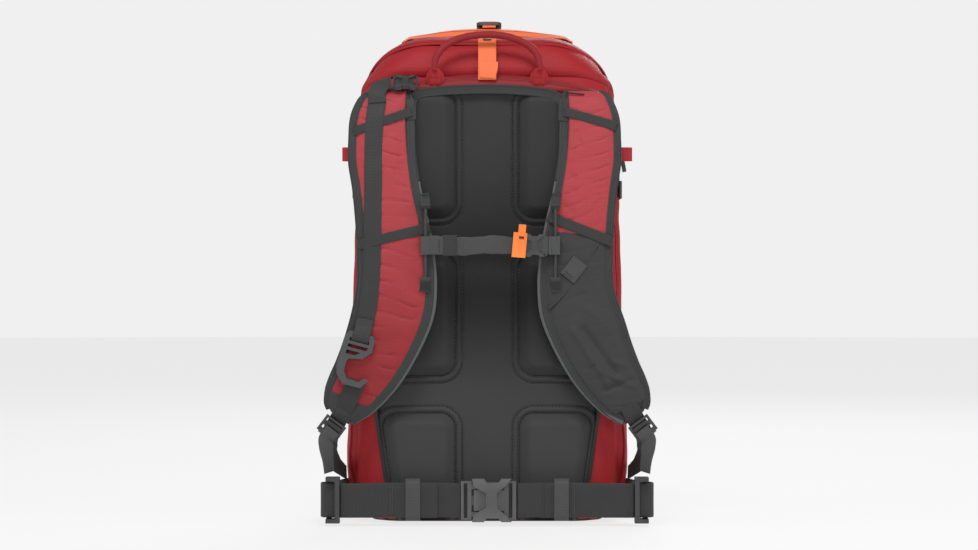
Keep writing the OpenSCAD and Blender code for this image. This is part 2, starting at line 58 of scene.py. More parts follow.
def make_stage():
    camera = bpy.data.objects.new("camera", bpy.data.cameras.new("camera"))
    scene.collection.objects.link(camera)
    camera.data.lens = 100
    camera.data.sensor_width = 36
    camera.location = (0.002, -3.08, 0.273)
    camera.rotation_euler = (math.radians(90), 0, 0)
    camera.data.clip_end = 60
    scene.camera = camera

    world = bpy.data.worlds.new("studio")
    world.use_nodes = True
    nodes, links = world.node_tree.nodes, world.node_tree.links
    nodes["Background"].inputs["Color"].default_value = (0.87, 0.87, 0.87, 1)
    nodes["Background"].inputs["Strength"].default_value = 1.0
    fill = nodes.new("ShaderNodeBackground")
    fill.inputs["Color"].default_value = (1.0, 0.99, 0.98, 1)
    fill.inputs["Strength"].default_value = 0.27
    choose = nodes.new("ShaderNodeMixShader")
    links.new(nodes.new("ShaderNodeLightPath").outputs["Is Camera Ray"], choose.inputs[0])
    links.new(fill.outputs[0], choose.inputs[1])
    links.new(nodes["Background"].outputs[0], choose.inputs[2])
    links.new(choose.outputs[0], nodes["World Output"].inputs[0])
    scene.world = world

    def area(name, place, target, size, power):
        light = bpy.data.objects.new(name, bpy.data.lights.new(name, "AREA"))
        light.data.shape = "RECTANGLE"
        light.data.size, light.data.size_y = size
        light.data.energy = power
        scene.collection.objects.link(light)
        light.location = place
        light.rotation_euler = (Vector(target) - Vector(place)).to_track_quat("-Z", "Y").to_euler()

    area("key", (-0.25, -1.5, 2.3), (0, 0, 0.35), (1.1, 0.8), 38)
    area("low", (0.4, -2.2, 0.75), (0, 0, 0.02), (1.2, 0.4), 10)
    area("rim_right", (1.7, -0.7, 0.9), (0, -0.1, 0.3), (0.4, 1.4), 8)
    area("rim_left", (-1.7, -0.5, 0.8), (0, -0.1, 0.3), (0.4, 1.4), 6)
    area("behind", (0.6, 2.2, 1.8), (0, 0, 0.3), (1.4, 1.0), 30)

    bpy.ops.mesh.primitive_circle_add(vertices=96, radius=9, fill_type="NGON", location=(0, 0, -0.001))
    floor = bpy.context.object
    floor.name = "floor"
    floor.data.materials.append(matte("floor_paint", 0.12, 0.76))
    scene.view_settings.view_transform = "Standard"


def matte(name, grey, glow):
    """Plain paint that glows a little, so that the floor stays as pale as the backdrop."""
    m = bpy.data.materials.new(name)
    m.use_nodes = True
    inputs = m.node_tree.nodes["Principled BSDF"].inputs
    for socket, value in (("Base Color", (grey, grey, grey, 1)), ("Roughness", 0.9),
                          ("Emission Color", (1, 1, 1, 1)), ("Emission Strength", glow)):
        inputs[socket].default_value = value
    return m


# ---------------------------------------------------------------- materials

def rgb(r, g, b):
    """A colour given as the usual 0 to 255 screen values."""
    def lin(c):
        c /= 255
        return c / 12.92 if c <= 0.04045 else ((c + 0.055) / 1.055) ** 2.4
    return (lin(r), lin(g), lin(b), 1)


class Tree:
    """Builds a material's nodes."""

    def __init__(self, name):
        self.material = bpy.data.materials.new(name)
        self.material.use_nodes = True
        self.tree = self.material.node_tree
        self.shader = self.tree.nodes["Principled BSDF"]
        self.coords = self.tree.nodes.new("ShaderNodeTexCoord")

    def add(self, kind, settings=None, **inputs):
        """A node with its inputs set or linked: i0, i1 by place, others by name."""
        node = self.tree.nodes.new("ShaderNode" + kind)
        for key, value in (settings or {}).items():
            setattr(node, key, value)
        for key, value in inputs.items():
            self.put(node.inputs[int(key[1:])] if key[0] == "i" and key[1:].isdigit()
                     else node.inputs[key.replace("_", " ")], value)
        return node

    def put(self, socket, value):
        if isinstance(value, bpy.types.NodeSocket):
            self.tree.links.new(value, socket)
        else:
            socket.default_value = value

    def maths(self, operation, a, b):
        return self.add("Math", {"operation": operation}, i0=a, i1=b).outputs[0]

    def plus(self, a, b):
        return self.maths("ADD", a, b)

    def times(self, a, b):
        return self.maths("MULTIPLY", a, b)

    def noise(self, scale, detail, rough=0.55):
        return self.add("TexNoise", Vector=self.coords.outputs["Object"], Scale=scale, Detail=detail,
                        Roughness=rough).outputs["Fac"]

    def wave(self, direction, period, kind="SIN"):
        """Bands across the unwrapped surface, whose period is in metres."""
        bands = self.add("TexWave", {"bands_direction": direction, "wave_profile": kind},
                         Vector=self.coords.outputs["UV"], Scale=WAVE_SCALE / period, Detail=0)
        return bands.outputs["Fac"]

    def mix(self, factor, a, b):
        node = self.add("Mix", {"data_type": "RGBA"})
        self.put(node.inputs[0], factor)
        self.put(node.inputs[6], a)
        self.put(node.inputs[7], b)
        return node.outputs[2]

    def fade(self, tone, ratio, z_from, z_to):
        """Multiplies a colour by ratio, more and more from one height to the other, in metres."""
        z = self.add("SeparateXYZ", Vector=self.coords.outputs["Object"]).outputs["Z"]
        part = self.add("MapRange", {"interpolation_type": "SMOOTHSTEP"}, i0=z, i1=z_from, i2=z_to)
        node = self.add("Mix", {"data_type": "RGBA", "blend_type": "MULTIPLY"})
        self.put(node.inputs[0], part.outputs[0])
        self.put(node.inputs[6], tone)
        self.put(node.inputs[7], (*ratio, 1))
        return node.outputs[2]

    def bump(self, height, distance, strength=1.0):
        node = self.add("Bump", Height=height, Distance=distance, Strength=strength)
        self.put(self.shader.inputs["Normal"], node.outputs[0])

    def finish(self, rough, sheen=0.0, specular=0.5, metallic=0.0):
        s = self.shader.inputs
        self.put(s["Roughness"], rough)
        s["Sheen Weight"].default_value = sheen
        s["Sheen Roughness"].default_value = 0.45
        s["Specular IOR Level"].default_value = specular
        s["Metallic"].default_value = metallic
        return self.material


def shade(colour, k):
    return (*(min(1, c * k) for c in colour[:3]), 1)


def ripstop(name, colour, grid=0.0046, painted_shading=()):
    """Thin coated nylon: plain weave with a raised grid of thicker threads, grid metres apart."""
    t = Tree(name)
    across, along = t.wave("X", grid), t.wave("Y", grid)
    weave = t.times(t.wave("X", THREAD_PITCH), t.wave("Y", THREAD_PITCH))
    ridges = t.maths("MAXIMUM", t.maths("POWER", across, 14), t.maths("POWER", along, 14))
    cloud = t.noise(9, 4)
    fibre = t.noise(700, 2)
    tone = t.mix(cloud, shade(colour, 0.88), shade(colour, 1.10))
    tone = t.mix(t.times(ridges, 0.35), tone, shade(colour, 1.28))
    tone = t.mix(t.times(fibre, 0.25), tone, shade(colour, 0.72))
    for fade in painted_shading:
        tone = t.fade(tone, *fade)
    t.put(t.shader.inputs["Base Color"], tone)
    height = t.plus(t.times(ridges, 0.8), t.times(weave, 0.35))
    height = t.plus(height, t.times(t.noise(60, 4), 1.6))
    t.bump(height, 0.00016, 0.7)
    rough = t.plus(0.52, t.times(cloud, 0.16))
    return t.finish(rough, sheen=0.04, specular=0.3)


def webbing(name, colour, rib=0.0016, bright=1.5):
    """Woven nylon tape: ribs across it, and paired warp lines along it."""
    t = Tree(name)
    ribs = t.wave("Y", rib)
    warp = t.wave("X", 0.0021, kind="TRI")
    weave = t.plus(t.times(ribs, 0.6), t.times(warp, 0.4))
    cloud = t.noise(40, 3)
    tone = t.mix(t.times(weave, 0.6), shade(colour, 0.72), shade(colour, bright))
    tone = t.mix(t.times(cloud, 0.4), tone, shade(colour, 0.8))
    t.put(t.shader.inputs["Base Color"], tone)
    height = t.plus(weave, t.times(t.noise(900, 2), 0.4))
    t.bump(height, 0.00028, 0.8)
    return t.finish(t.plus(0.5, t.times(cloud, 0.2)), sheen=0.1, specular=0.35)


def foam(name, colour, grain=1400, sheen=0.12, painted_shading=()):
    """Fabric laminated on moulded foam: fine knit grain and soft broad variation."""
    t = Tree(name)
    fine = t.noise(grain, 2, 0.6)
    cells = t.add("TexVoronoi", Vector=t.coords.outputs["Object"], Scale=grain * 0.8)
    cells = cells.outputs["Distance"]
    broad = t.noise(14, 4)
    tone = t.mix(broad, shade(colour, 0.86), shade(colour, 1.14))
    tone = t.mix(t.times(fine, 0.4), tone, shade(colour, 1.35))
    for fade in painted_shading:
        tone = t.fade(tone, *fade)
    t.put(t.shader.inputs["Base Color"], tone)
    t.bump(t.plus(fine, t.times(cells, 0.8)), 0.00012, 0.8)
    return t.finish(t.plus(0.62, t.times(broad, 0.15)), sheen=sheen, specular=0.3)


def plastic(name, colour, rough=0.42):
    """Moulded acetal: fine spark texture, and a painted highlight that makes its edges a little lighter."""
    t = Tree(name)
    fine = t.noise(2600, 2)
    broad = t.noise(120, 4)
    # painted highlight: where the surface is convex, found by pointiness, the colour is made lighter
    edge_highlight = t.times(t.maths("SUBTRACT", t.add("NewGeometry").outputs["Pointiness"], 0.5), 5.0)
    edge_highlight = t.add("Clamp", Value=edge_highlight).outputs[0]
    tone = t.mix(broad, shade(colour, 0.9), shade(colour, 1.12))
    tone = t.mix(edge_highlight, tone, shade(colour, 1.9))
    t.put(t.shader.inputs["Base Color"], tone)
    t.bump(t.plus(fine, t.times(broad, 0.6)), 0.00006, 0.5)
    return t.finish(t.plus(rough, t.times(broad, 0.12)), specular=0.5)


def metal(name, colour, rough=0.35):
    t = Tree(name)
    grain = t.add("TexNoise", Vector=t.coords.outputs["Object"], Scale=900, Detail=2).outputs["Fac"]
    broad = t.noise(60, 4)
    t.put(t.shader.inputs["Base Color"], t.mix(broad, shade(colour, 0.85), shade(colour, 1.15)))
    t.bump(grain, 0.00004, 0.6)
    return t.finish(t.plus(rough, t.times(broad, 0.15)), metallic=0.85)


RED = ripstop("red_ripstop", rgb(152, 22, 30))
ROSE = ripstop("rose_ripstop", rgb(158, 34, 41))
# painted shade: the strap covers are painted darker and redder towards their lower ends, and the back panel
# darker at its middle
COVER = ripstop("cover_ripstop", rgb(162, 55, 61), grid=0.0038, painted_shading=[((0.72, 0.45, 0.46), 0.36, 0.15)])
YOKE = ripstop("yoke_ripstop", rgb(134, 28, 34), grid=0.0038)
HANDLE = ripstop("handle_ripstop", rgb(130, 19, 26), grid=0.003)
POCKET = foam("stretch_weave", rgb(50, 50, 50), grain=1100)
# painted shade makes the foam darker from 420 mm down to 280 mm, and painted light makes it lighter again
# from 240 mm down to 130 mm
FOAM = foam("moulded_foam", rgb(41, 41, 41),
            painted_shading=[((0.42, 0.42, 0.42), 0.42, 0.28), ((3.6, 3.6, 3.6), 0.24, 0.13)])
EDGE = webbing("edge_binding", rgb(46, 47, 47), rib=0.0011)
PIPING = foam("piping", rgb(82, 84, 84), grain=1000, sheen=0.15)
BASE = foam("base_cloth", rgb(31, 31, 32), grain=900, sheen=0.1)
WEB = webbing("webbing_dark", rgb(46, 46, 46))
WEB_GREY = webbing("webbing_grey", rgb(66, 66, 66))
ORANGE = ripstop("orange_nylon", rgb(232, 112, 68), grid=0.0022)
WHISTLE = plastic("orange_plastic", rgb(216, 104, 38), rough=0.5)
PLASTIC = plastic("dark_plastic", rgb(42, 43, 44))
BUCKLE = plastic("grey_plastic", rgb(68, 68, 68), rough=0.3)
HOOK = metal("anodised", rgb(84, 85, 86), rough=0.45)
STAY = metal("aluminium", rgb(190, 190, 192))
SHEET = plastic("sheet_plastic", rgb(222, 222, 220))
ZIP = plastic("zip_coil", rgb(34, 34, 35), rough=0.5)
THREAD = webbing("thread_dark", rgb(9, 9, 9), rib=0.0006, bright=1.2)
THREAD_RED = webbing("thread_red", rgb(92, 16, 20), rib=0.0006)
THREAD_GREY = webbing("thread_grey", rgb(84, 86, 86), rib=0.0006)


# ---------------------------------------------------------------- mesh helpers

def piece(name, points, faces, material, body, uvs=None, smooth=True):
    """A mesh from points in millimetres. A piece without a body is given one later, or left without one."""
    mesh = bpy.data.meshes.new(name)
    mesh.from_pydata([tuple(p) for p in np.asarray(points, float) * MM], [], [tuple(f) for f in faces])
    if uvs is not None:
        layer = mesh.uv_layers.new(name="UVMap")
        index = np.zeros(len(mesh.loops), np.int32)
        mesh.loops.foreach_get("vertex_index", index)
        layer.data.foreach_set("uv", (np.asarray(uvs, float) * MM)[index].astype(np.float32).ravel())
    mesh.materials.append(material)
    obj = bpy.data.objects.new(name, mesh)
    scene.collection.objects.link(obj)
    bm = bmesh.new()
    bm.from_mesh(mesh)
    bmesh.ops.recalc_face_normals(bm, faces=bm.faces)
    bm.to_mesh(mesh)
    bm.free()
    mesh.polygons.foreach_set("use_smooth", [smooth] * len(mesh.polygons))
    if body:
        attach(obj, body)
    return obj


def stands_for(obj, *nodes, slot, fill=None):
    """Hides the CAD nodes that a new piece stands for. Its slot and fill arguments are not used."""
    if nodes:
        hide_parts(*nodes)


def thicken(obj, thickness, offset=0):
    """Gives a sheet of cloth its thickness, in metres."""
    solid = obj.modifiers.new("cloth_thickness", "SOLIDIFY")
    solid.thickness, solid.offset = thickness, offset


def catmull_rom(a, b, c, d, t):
    return 0.5 * (2 * b + (c - a) * t + (2 * a - 5 * b + 4 * c - d) * t * t
                  + (3 * b - a - 3 * c + d) * t ** 3)


def spline(points, count):
    """A smooth curve through points, sampled evenly along its length."""
    p = np.asarray(points, float)
    ext = np.vstack([2 * p[0] - p[1], p, 2 * p[-1] - p[-2]])
    fine = [catmull_rom(*ext[i:i + 4], t) for i in range(len(p) - 1)
            for t in np.linspace(0, 1, 16, endpoint=False)]
    fine = np.array(fine + [p[-1]])
    length = lengths(fine)
    where = np.linspace(0, length[-1], count)
    return np.stack([np.interp(where, length, fine[:, k]) for k in range(p.shape[1])], 1)


def lengths(row):
    return np.concatenate([[0], np.cumsum(np.linalg.norm(np.diff(row, axis=0), axis=1))])


def surface(name, grid, material, body, closed=False, uv=None):
    """A sheet over a grid of points. uv defaults to distances along the middle row and column."""
    grid = np.asarray(grid, float)
    rows, cols = grid.shape[:2]
    if uv is None:
        u, v = lengths(grid[rows // 2]), lengths(grid[:, cols // 2])
        uv = np.stack(np.meshgrid(u, v), -1)
    faces = quads(rows, cols, cols if closed else cols - 1)
    return piece(name, grid.reshape(-1, 3), faces, material, body, uv.reshape(-1, 2))


def quads(rows, cols, wrap):
    return [(j * cols + i, j * cols + (i + 1) % cols, (j + 1) * cols + (i + 1) % cols, (j + 1) * cols + i)
            for j in range(rows - 1) for i in range(wrap)]


def loop_solid(rings):
    """Faces that join rings of equal length into a tube and close both its ends."""
    m, n = rings.shape[:2]
    return quads(m, n, n) + [tuple(range(n))[::-1], tuple((m - 1) * n + i for i in range(n))]


def ring_uv(angles, path):
    return np.stack(np.meshgrid(angles, path), -1).reshape(-1, 2)


def frames_along(path, sides=None):
    """Tangents, side vectors and normals along a path."""
    path = np.asarray(path, float)
    tangent = np.gradient(path, axis=0)
    tangent /= np.linalg.norm(tangent, axis=1)[:, None]
    if sides is None:
        side = [np.cross(tangent[0], [0.3, 1, 0.2])]
        for t in tangent[1:]:
            side.append(side[-1] - t * (side[-1] @ t))
        side = np.array([s / np.linalg.norm(s) for s in side])
    else:
        side = np.asarray(sides, float)
        side = side - tangent * np.sum(side * tangent, 1)[:, None]
        side /= np.linalg.norm(side, axis=1)[:, None]
    return tangent, side, np.cross(tangent, side)


def tube(name, points, radius, material, body, count=40, segments=12, flat=1.0, curve=True):
    """Piping or cord round a path. Its section is an ellipse where flat is less than 1."""
    path = spline(points, count) if curve else np.asarray(points, float)
    _, side, normal = frames_along(path)
    radius = np.broadcast_to(np.asarray(radius, float), (len(path),))
    a = np.linspace(0, 2 * np.pi, segments, endpoint=False)
    rings = (path[:, None] + side[:, None] * (np.cos(a)[None, :, None] * radius[:, None, None])
             + normal[:, None] * (np.sin(a)[None, :, None] * radius[:, None, None] * flat))
    uv = ring_uv(a * radius.max(), lengths(path))
    return piece(name, rings.reshape(-1, 3), loop_solid(rings), material, body, uv)


def ribbon(name, points, sides, width, thick, material, body, count=60, arch=0.0, curve=True):
    """Flat webbing with rounded edges. sides is the direction of its width, everywhere or at each point."""
    points = np.asarray(points, float)
    both = np.hstack([points, np.broadcast_to(np.asarray(sides, float), points.shape)])
    both = spline(both, count) if curve else both
    path, side = both[:, :3], both[:, 3:]
    _, side, normal = frames_along(path, side)
    width = np.interp(np.linspace(0, 1, len(path)), np.linspace(0, 1, np.size(width)),
                      np.atleast_1d(width))
    across = np.array([-1, -0.975, -0.9, -0.6, -0.2, 0.2, 0.6, 0.9, 0.975, 1])
    high = np.array([0.35, 0.8, 1, 0.96, 0.94, 0.94, 0.96, 1, 0.8, 0.35])
    a = np.concatenate([across, across[::-1]])
    h = np.concatenate([high, -high[::-1]])
    bow = arch * (1 - a ** 2)
    rings = (path[:, None] + side[:, None] * (a[None, :, None] * width[:, None, None] / 2)
             + normal[:, None] * (h[None, :, None] * thick / 2 + bow[None, :, None]))
    uv = ring_uv(a * width.max() / 2, lengths(path))
    return piece(name, rings.reshape(-1, 3), loop_solid(rings), material, body, uv)


def stitches(name, paths, body, material=THREAD, pitch=3.4, length=2.3, width=0.75, lift=0.25,
             out=(0, -1, 0)):
    """Rows of thread dashes along paths that lie on a surface. out is the way the surface faces."""
    points, faces = [], []
    out = np.asarray(out, float)
    for path in paths:
        path = np.asarray(path, float)
        total = lengths(path)
        for s in np.arange(pitch / 2, total[-1] - length, pitch):
            p, q = (np.array([np.interp(w, total, path[:, k]) for k in range(3)]) for w in (s, s + length))
            d = q - p
            w = np.cross(d, out)
            if np.linalg.norm(w) < 1e-6:
                continue
            w = w / np.linalg.norm(w) * width / 2
            base = len(points)
            for c, k in ((p, 0.35), (p + d * 0.25, 1), (p + d * 0.75, 1), (q, 0.35)):
                points += [c + w * k, c + out * lift * (0.4 + k), c - w * k, c - out * 0.3]
            faces += [tuple(base + i for i in f) for f in quads(4, 4, 4)]
    return piece(name, points, faces, material, body)


RED_ROW = dict(material=THREAD_RED, pitch=3, length=2)
RED_SMALL = dict(material=THREAD_RED, pitch=2.4, length=1.7)
GREY_ROW = dict(material=THREAD_GREY, pitch=2.8, length=1.8, width=0.55, lift=0.2)


def smoothstep(a, b, x):
    t = np.clip((x - a) / (b - a), 0, 1)
    return t * t * (3 - 2 * t)


def wobble(grid, scale, seed):
    """Smooth noise at a grid's points, from about -1 to 1."""
    flat = grid.reshape(-1, 3)
    values = [noise.noise(Vector((p[0] * scale + seed, p[1] * scale, p[2] * scale))) for p in flat]
    return np.array(values).reshape(grid.shape[:-1])


def bump_line(distance, width):
    return np.exp(-(distance / width) ** 2)


# ---------------------------------------------------------------- bag

# sections: height, lean, half width, back, front, radius of the back corners and of the front ones
BAG = [[0, 0, 119, -66, 78, 26, 40], [5, 0, 134, -76, 90, 28, 44], [14, 0, 146, -82, 99, 30, 48],
       [30, 0, 153, -84, 105, 32, 52], [70, 0, 157, -84, 109, 34, 56], [160, 0, 154, -84, 111, 34, 58],
       [260, 0, 150, -84, 110, 34, 58], [340, 0.08, 149, -84, 108, 34, 58],
       [400, 0.20, 148, -84, 106, 34, 56], [440, 0.35, 145, -83, 104, 40, 54],
       [465, 0.48, 141, -78, 101, 54, 52], [489, 0.6, 136, -64, 98, 75, 50]]
LID = [[491.5, 0.6, 136, -64, 98, 75, 50], [502.5, 0.56, 131, -59, 92, 72, 52],
       [515, 0.48, 120, -50, 82, 62, 52], [526, 0.38, 103, -38, 67, 48, 46],
       [534.3, 0.28, 78, -24, 50, 34, 34], [538.8, 0.20, 45, -8, 36, 20, 20],
       [540.3, 0.2, 12, 6, 22, 6, 6]]
CORNER, STRAIGHT = 12, 12    # points in a corner's arc and along a straight side
CLOTH = 0.0012    # the bag's fabric, in metres
STRAP_Z = 368    # the middle of the compression straps


def outline(hw, yb, yf, rb, rf):
    """Points round a section, counterclockwise from the middle of the right side."""
    corners = [(hw - rf, yf - rf, rf, 0), (rf - hw, yf - rf, rf, 90),
               (rb - hw, yb + rb, rb, 180), (hw - rb, yb + rb, rb, 270)]
    arcs = [[(x + r * math.cos(math.radians(s + 90 * i / CORNER)),
              y + r * math.sin(math.radians(s + 90 * i / CORNER))) for i in range(CORNER + 1)]
            for x, y, r, s in corners]
    points = []
    for k, arc in enumerate(arcs):
        nxt = arcs[(k + 1) % 4][0]
        last = np.array(arc[-1])
        points += arc + [tuple(last + (np.array(nxt) - last) * i / STRAIGHT) for i in range(1, STRAIGHT)]
    return np.array(points)


PER_CORNER = CORNER + STRAIGHT
SEAMS = {"front_right": CORNER // 2, "front_left": PER_CORNER + CORNER // 2,
         "back_left": 2 * PER_CORNER + CORNER // 3, "back_right": 3 * PER_CORNER + 2 * CORNER // 3}


def shell(sections, count):
    """Rings of points round sections that are spaced evenly up the bag."""
    rings = []
    for s in spline(sections, count):
        xy = outline(s[2], s[3], s[4], max(4, s[5]), max(4, s[6]))
        rings.append(np.column_stack([xy, s[0] - s[1] * xy[:, 1]]))
    return np.array(rings)


def outward(rings):
    """Unit normals of rings that lie above each other."""
    du = np.roll(rings, -1, 1) - np.roll(rings, 1, 1)
    dv = np.gradient(rings, axis=0)
    n = np.cross(du, dv)
    return n / np.maximum(np.linalg.norm(n, axis=2), 1e-9)[..., None]


def pull_in(rings, depth):
    return rings - outward(rings) * depth[..., None]


def build_bag():
    rings = shell(BAG, 130)
    depth = 1.3 + 1.5 * wobble(rings, 0.013, 3) + 0.5 * wobble(rings, 0.05, 9)
    x, y, z = rings[..., 0], rings[..., 1], rings[..., 2]
    perimeter = np.array([lengths(r) for r in rings])
    for index in SEAMS.values():
        along = np.abs(perimeter - perimeter[:, index][:, None])
        pucker = (1 + np.sin(z / 7.0 + index)) / 2
        depth += 1.5 * bump_line(along, 2.2) + 0.8 * bump_line(along, 9) * pucker
    # upright folds low on the sides next to the back panel, and a waist under the side straps
    fold = smoothstep(190, 40, z) * smoothstep(-20, -50, y)
    ax = np.abs(x)
    depth += fold * (2.6 * np.sin((ax + 0.5 * y + 0.05 * z) / 2.9) + 0.8 * np.sin(ax / 1.7 + z / 31))
    depth += 2.0 * bump_line(z - STRAP_Z, 13) * smoothstep(60, 90, ax)
    ripple = 0.9 * np.sin(z / 8.5 + wobble(rings, 0.02, 5) * 5) * bump_line(z - STRAP_Z, 42)
    depth += ripple * smoothstep(100, 135, ax)
    ripple = 0.7 * np.sin(z / 6.0 + 2 * wobble(rings, 0.03, 2)) * smoothstep(430, 470, z)
    depth += ripple * smoothstep(70, 110, ax)
    depth = np.clip(depth, 0.2, 6) * smoothstep(0, 8, z)
    rings = pull_in(rings, depth)
    cols = rings.shape[1]
    round_bag = perimeter[60]    # distances round the bag, for the weave

    def panel(name, start, end, *nodes):
        ids = np.arange(start, end + 1) % cols
        u = round_bag[ids] + round_bag[-1] * (np.arange(start, end + 1) >= cols)
        uv = np.stack(np.meshgrid(u, lengths(rings[:, ids[len(ids) // 2]])), -1)
        obj = surface(name, rings[:, ids], RED, "pack", uv=uv)
        thicken(obj, CLOTH, -1)
        stands_for(obj, *nodes, slot="red_ripstop", fill=0.5)

    panel("bag_front", SEAMS["front_right"], SEAMS["front_left"], "front_panel")
    panel("bag_side_left", SEAMS["front_left"], SEAMS["back_left"], "side_panel_left")
    panel("bag_back", SEAMS["back_left"], SEAMS["back_right"], "back_wall")
    panel("bag_side_right", SEAMS["back_right"], cols + SEAMS["front_right"], "side_panel_right")

    # painted shadow: dark cords along the side panels' edges, next to the piping, where the groove beside
    # the seam is in shade
    for name, k in (("back_left", -1), ("back_right", 1)):
        index = SEAMS[name]
        path = rings[100:-2, index] + outward(rings)[100:-2, index] * 1.2 + [k * -1.6, 0, 0]
        tube("seam_shadow_" + name, path, 0.7, THREAD_RED, "pack", curve=False, segments=8)

    # piping along the four seams, and a dark reinforced base with a bound rim
    for name, index in SEAMS.items():
        path = rings[6:-3, index] + outward(rings)[6:-3, index] * 0.4
        tube("seam_piping_" + name, path, 1.15, RED, "pack", curve=False, segments=8)
    rows = spline(np.array(BAG[:4], float), 30)[:6]
    boot = []
    for s in rows:
        xy = outline(s[2] + 0.9, s[3] - 0.9, s[4] + 0.9, s[5] + 0.9, s[6] + 0.9)
        boot.append(np.column_stack([xy, np.full(len(xy), s[0] + 0.2)]))
    boot = np.array(boot)
    inner = [np.column_stack([boot[0][:, :2] * k, np.full(len(boot[0]), 0.05)]) for k in (0.02, 0.5, 0.93)]
    grid = np.concatenate([inner, boot])
    base = surface("base_boot", grid, BASE, "pack", closed=True)
    stands_for(base, "base_panel", slot="base_fabric")
    rim = boot[-1] + np.array([0, 0, 0.2])
    tube("base_binding", np.vstack([rim, rim[:1]]), 1.3, EDGE, "pack", curve=False, segments=8)
    return rings


def build_lid():
    rings = shell(LID, 64)
    depth = 0.9 + 1.3 * wobble(rings, 0.016, 20) + 0.4 * wobble(rings, 0.06, 4)
    level = rings[..., 2] + 0.45 * rings[..., 1]
    depth += 0.5 * np.sin(level / 3.4 + 3 * wobble(rings, 0.02, 8)) * bump_line(level - 486, 14)
    rings = pull_in(rings, np.clip(depth, 0.1, 4))
    top = np.broadcast_to(rings[-1].mean(0) + [0, 0, 0.3], rings[-1:].shape)
    lid = surface("lid_fabric", np.concatenate([rings, top]), RED, "lid", closed=True)
    thicken(lid, CLOTH, -1)
    stands_for(lid, "lid_shell", slot="red_ripstop", fill=0.6)
    return rings


def build_zips(bag, lid):
    """The main zip's tape, the storm flap over it, and the lid's hinge of cloth."""
    cols = bag.shape[1]
    n_bag, n_lid = outward(bag), outward(lid)
    ids = list(range(cols)) + [0]
    low, high = bag[-1][ids], lid[0][ids]
    nl, nh = n_bag[-2][ids], n_lid[1][ids]
    tape = [bag[-6][ids] + n_bag[-6][ids] * 0.6, bag[-3][ids] + n_bag[-3][ids] * 0.9,
            low + nl - [0, 0, 0.6]]
    opening = np.arange(SEAMS["front_left"], cols + SEAMS["front_right"] + 1) % cols
    lower = surface("zip_tape_lower", [row[opening] for row in tape], ZIP, "pack")
    stands_for(lower, "main_zip_lower", slot="zip")
    back = np.arange(SEAMS["back_left"] - 9, SEAMS["back_right"] + 10)
    rows = [bag[-12][back] + n_bag[-12][back] * 0.3, bag[-9][back] + n_bag[-9][back] * 1.3,
            bag[-5][back] + n_bag[-5][back] * 2.0, low[back] + nl[back] * 2.2 - [0, 0, 0.8],
            low[back] + nl[back] * 1.6 - [0, 0, 0.2]]
    hood = surface("zip_cover_back", rows, RED, "pack")
    thicken(hood, 0.0006)
    stitches("zip_cover_stitching", [rows[3] + nl[back] * 0.5 - [0, 0, 3.0]], "pack", **RED_ROW)
    flap = []
    for t, off in ((-2.6, 2.3), (-2.4, 2.9), (-0.5, 2.7), (3, 2.0), (7, 1.2), (10, 0.4)):
        base = high + (lid[4][ids] - high) * (t / 9 if t > 0 else 0) + np.array([0, 0, min(t, 0)])
        flap.append(base + nh * off)
    upper = surface("storm_flap", [row[opening] for row in flap], RED, "lid")
    thicken(upper, 0.0008)
    stands_for(upper, "main_zip_upper", slot="zip")
    # the fold of cloth at the front that the lid turns on
    front = np.arange(SEAMS["front_right"], SEAMS["front_left"] + 1)
    fold = [rings[k][front] + out[k][front] * 0.5 for rings, out, rows in
            ((bag, n_bag, (-5, -3, -1)), (lid, n_lid, (0, 1, 3))) for k in rows]
    hinge = surface("lid_hinge_fold", fold, RED, None)
    thicken(hinge, 0.0008)
    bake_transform(hinge)
    line = high + nh * 3.0 + [0, 0, 0.4]
    stitches("storm_flap_stitching", [line[SEAMS["back_left"] + 4:SEAMS["back_right"] - 4]], "lid",
             **RED_ROW)


# ---------------------------------------------------------------- back panel

def quad_distance(x, z, z0, z1, x_in, x_low, x_high, r):
    """Signed distance to a pad's outline. x is the distance from the panel's middle."""
    lean = (x_high - x_low) / (z1 - z0)
    outer = (x - (x_low + lean * (z - z0))) / math.hypot(1, lean)
    dx = np.maximum(x_in - x, outer) + r
    dz = np.maximum(z0 - z, z - z1) + r
    return np.minimum(np.maximum(dx, dz), 0) + np.hypot(np.maximum(dx, 0), np.maximum(dz, 0)) - r


# pads: bottom, top, inner edge, outer edge at the bottom and at the top, corner radius
PADS = [(336, 476, 35.5, 122, 116, 16), (162.5, 296, 35.5, 117, 121, 16), (6, 121, 35.5, 100, 117, 16)]


def panel_half(z):
    """Half the panel's width at a height."""
    return np.interp(z, [4, 49, 120, 300, 474], [100.5, 113, 123, 129, 122])


def pad_height(x, z):
    """How far the back panel stands out of its flat channels."""
    ax = np.abs(x)
    rise = np.zeros_like(x)
    for z0, z1, x_in, x_low, x_high, r in PADS:
        d = quad_distance(ax, z, z0, z1, x_in, x_low, x_high, r)
        pad = smoothstep(1, -13, d) ** 0.8 * 9.2 + smoothstep(-10, -38, d) * 0.7
        welt = 2.1 * np.exp(-((d - 4.0) / 2.6) ** 2)
        groove = 1.7 * np.exp(-((d - 0.2) / 1.0) ** 2) + 1.5 * np.exp(-((d - 8) / 1.0) ** 2)
        rise += pad + welt - groove
    rise += 0.5 * np.cos(np.pi * np.clip(x / 27, -1, 1)) + 0.4
    edge = panel_half(z) - ax
    rise -= 7.0 * smoothstep(7, 0, edge) * (0.6 + 0.4 * smoothstep(0, 14, edge))
    return rise - 2.6 * smoothstep(14, 3, edge)


CHANNEL_Y, PANEL_BACK_Y = -91.5, -84.4    # the flat channels' face, and the panel's edge on the bag


def panel_surface(x, z):
    return CHANNEL_Y - pad_height(np.asarray(x, float), np.asarray(z, float))


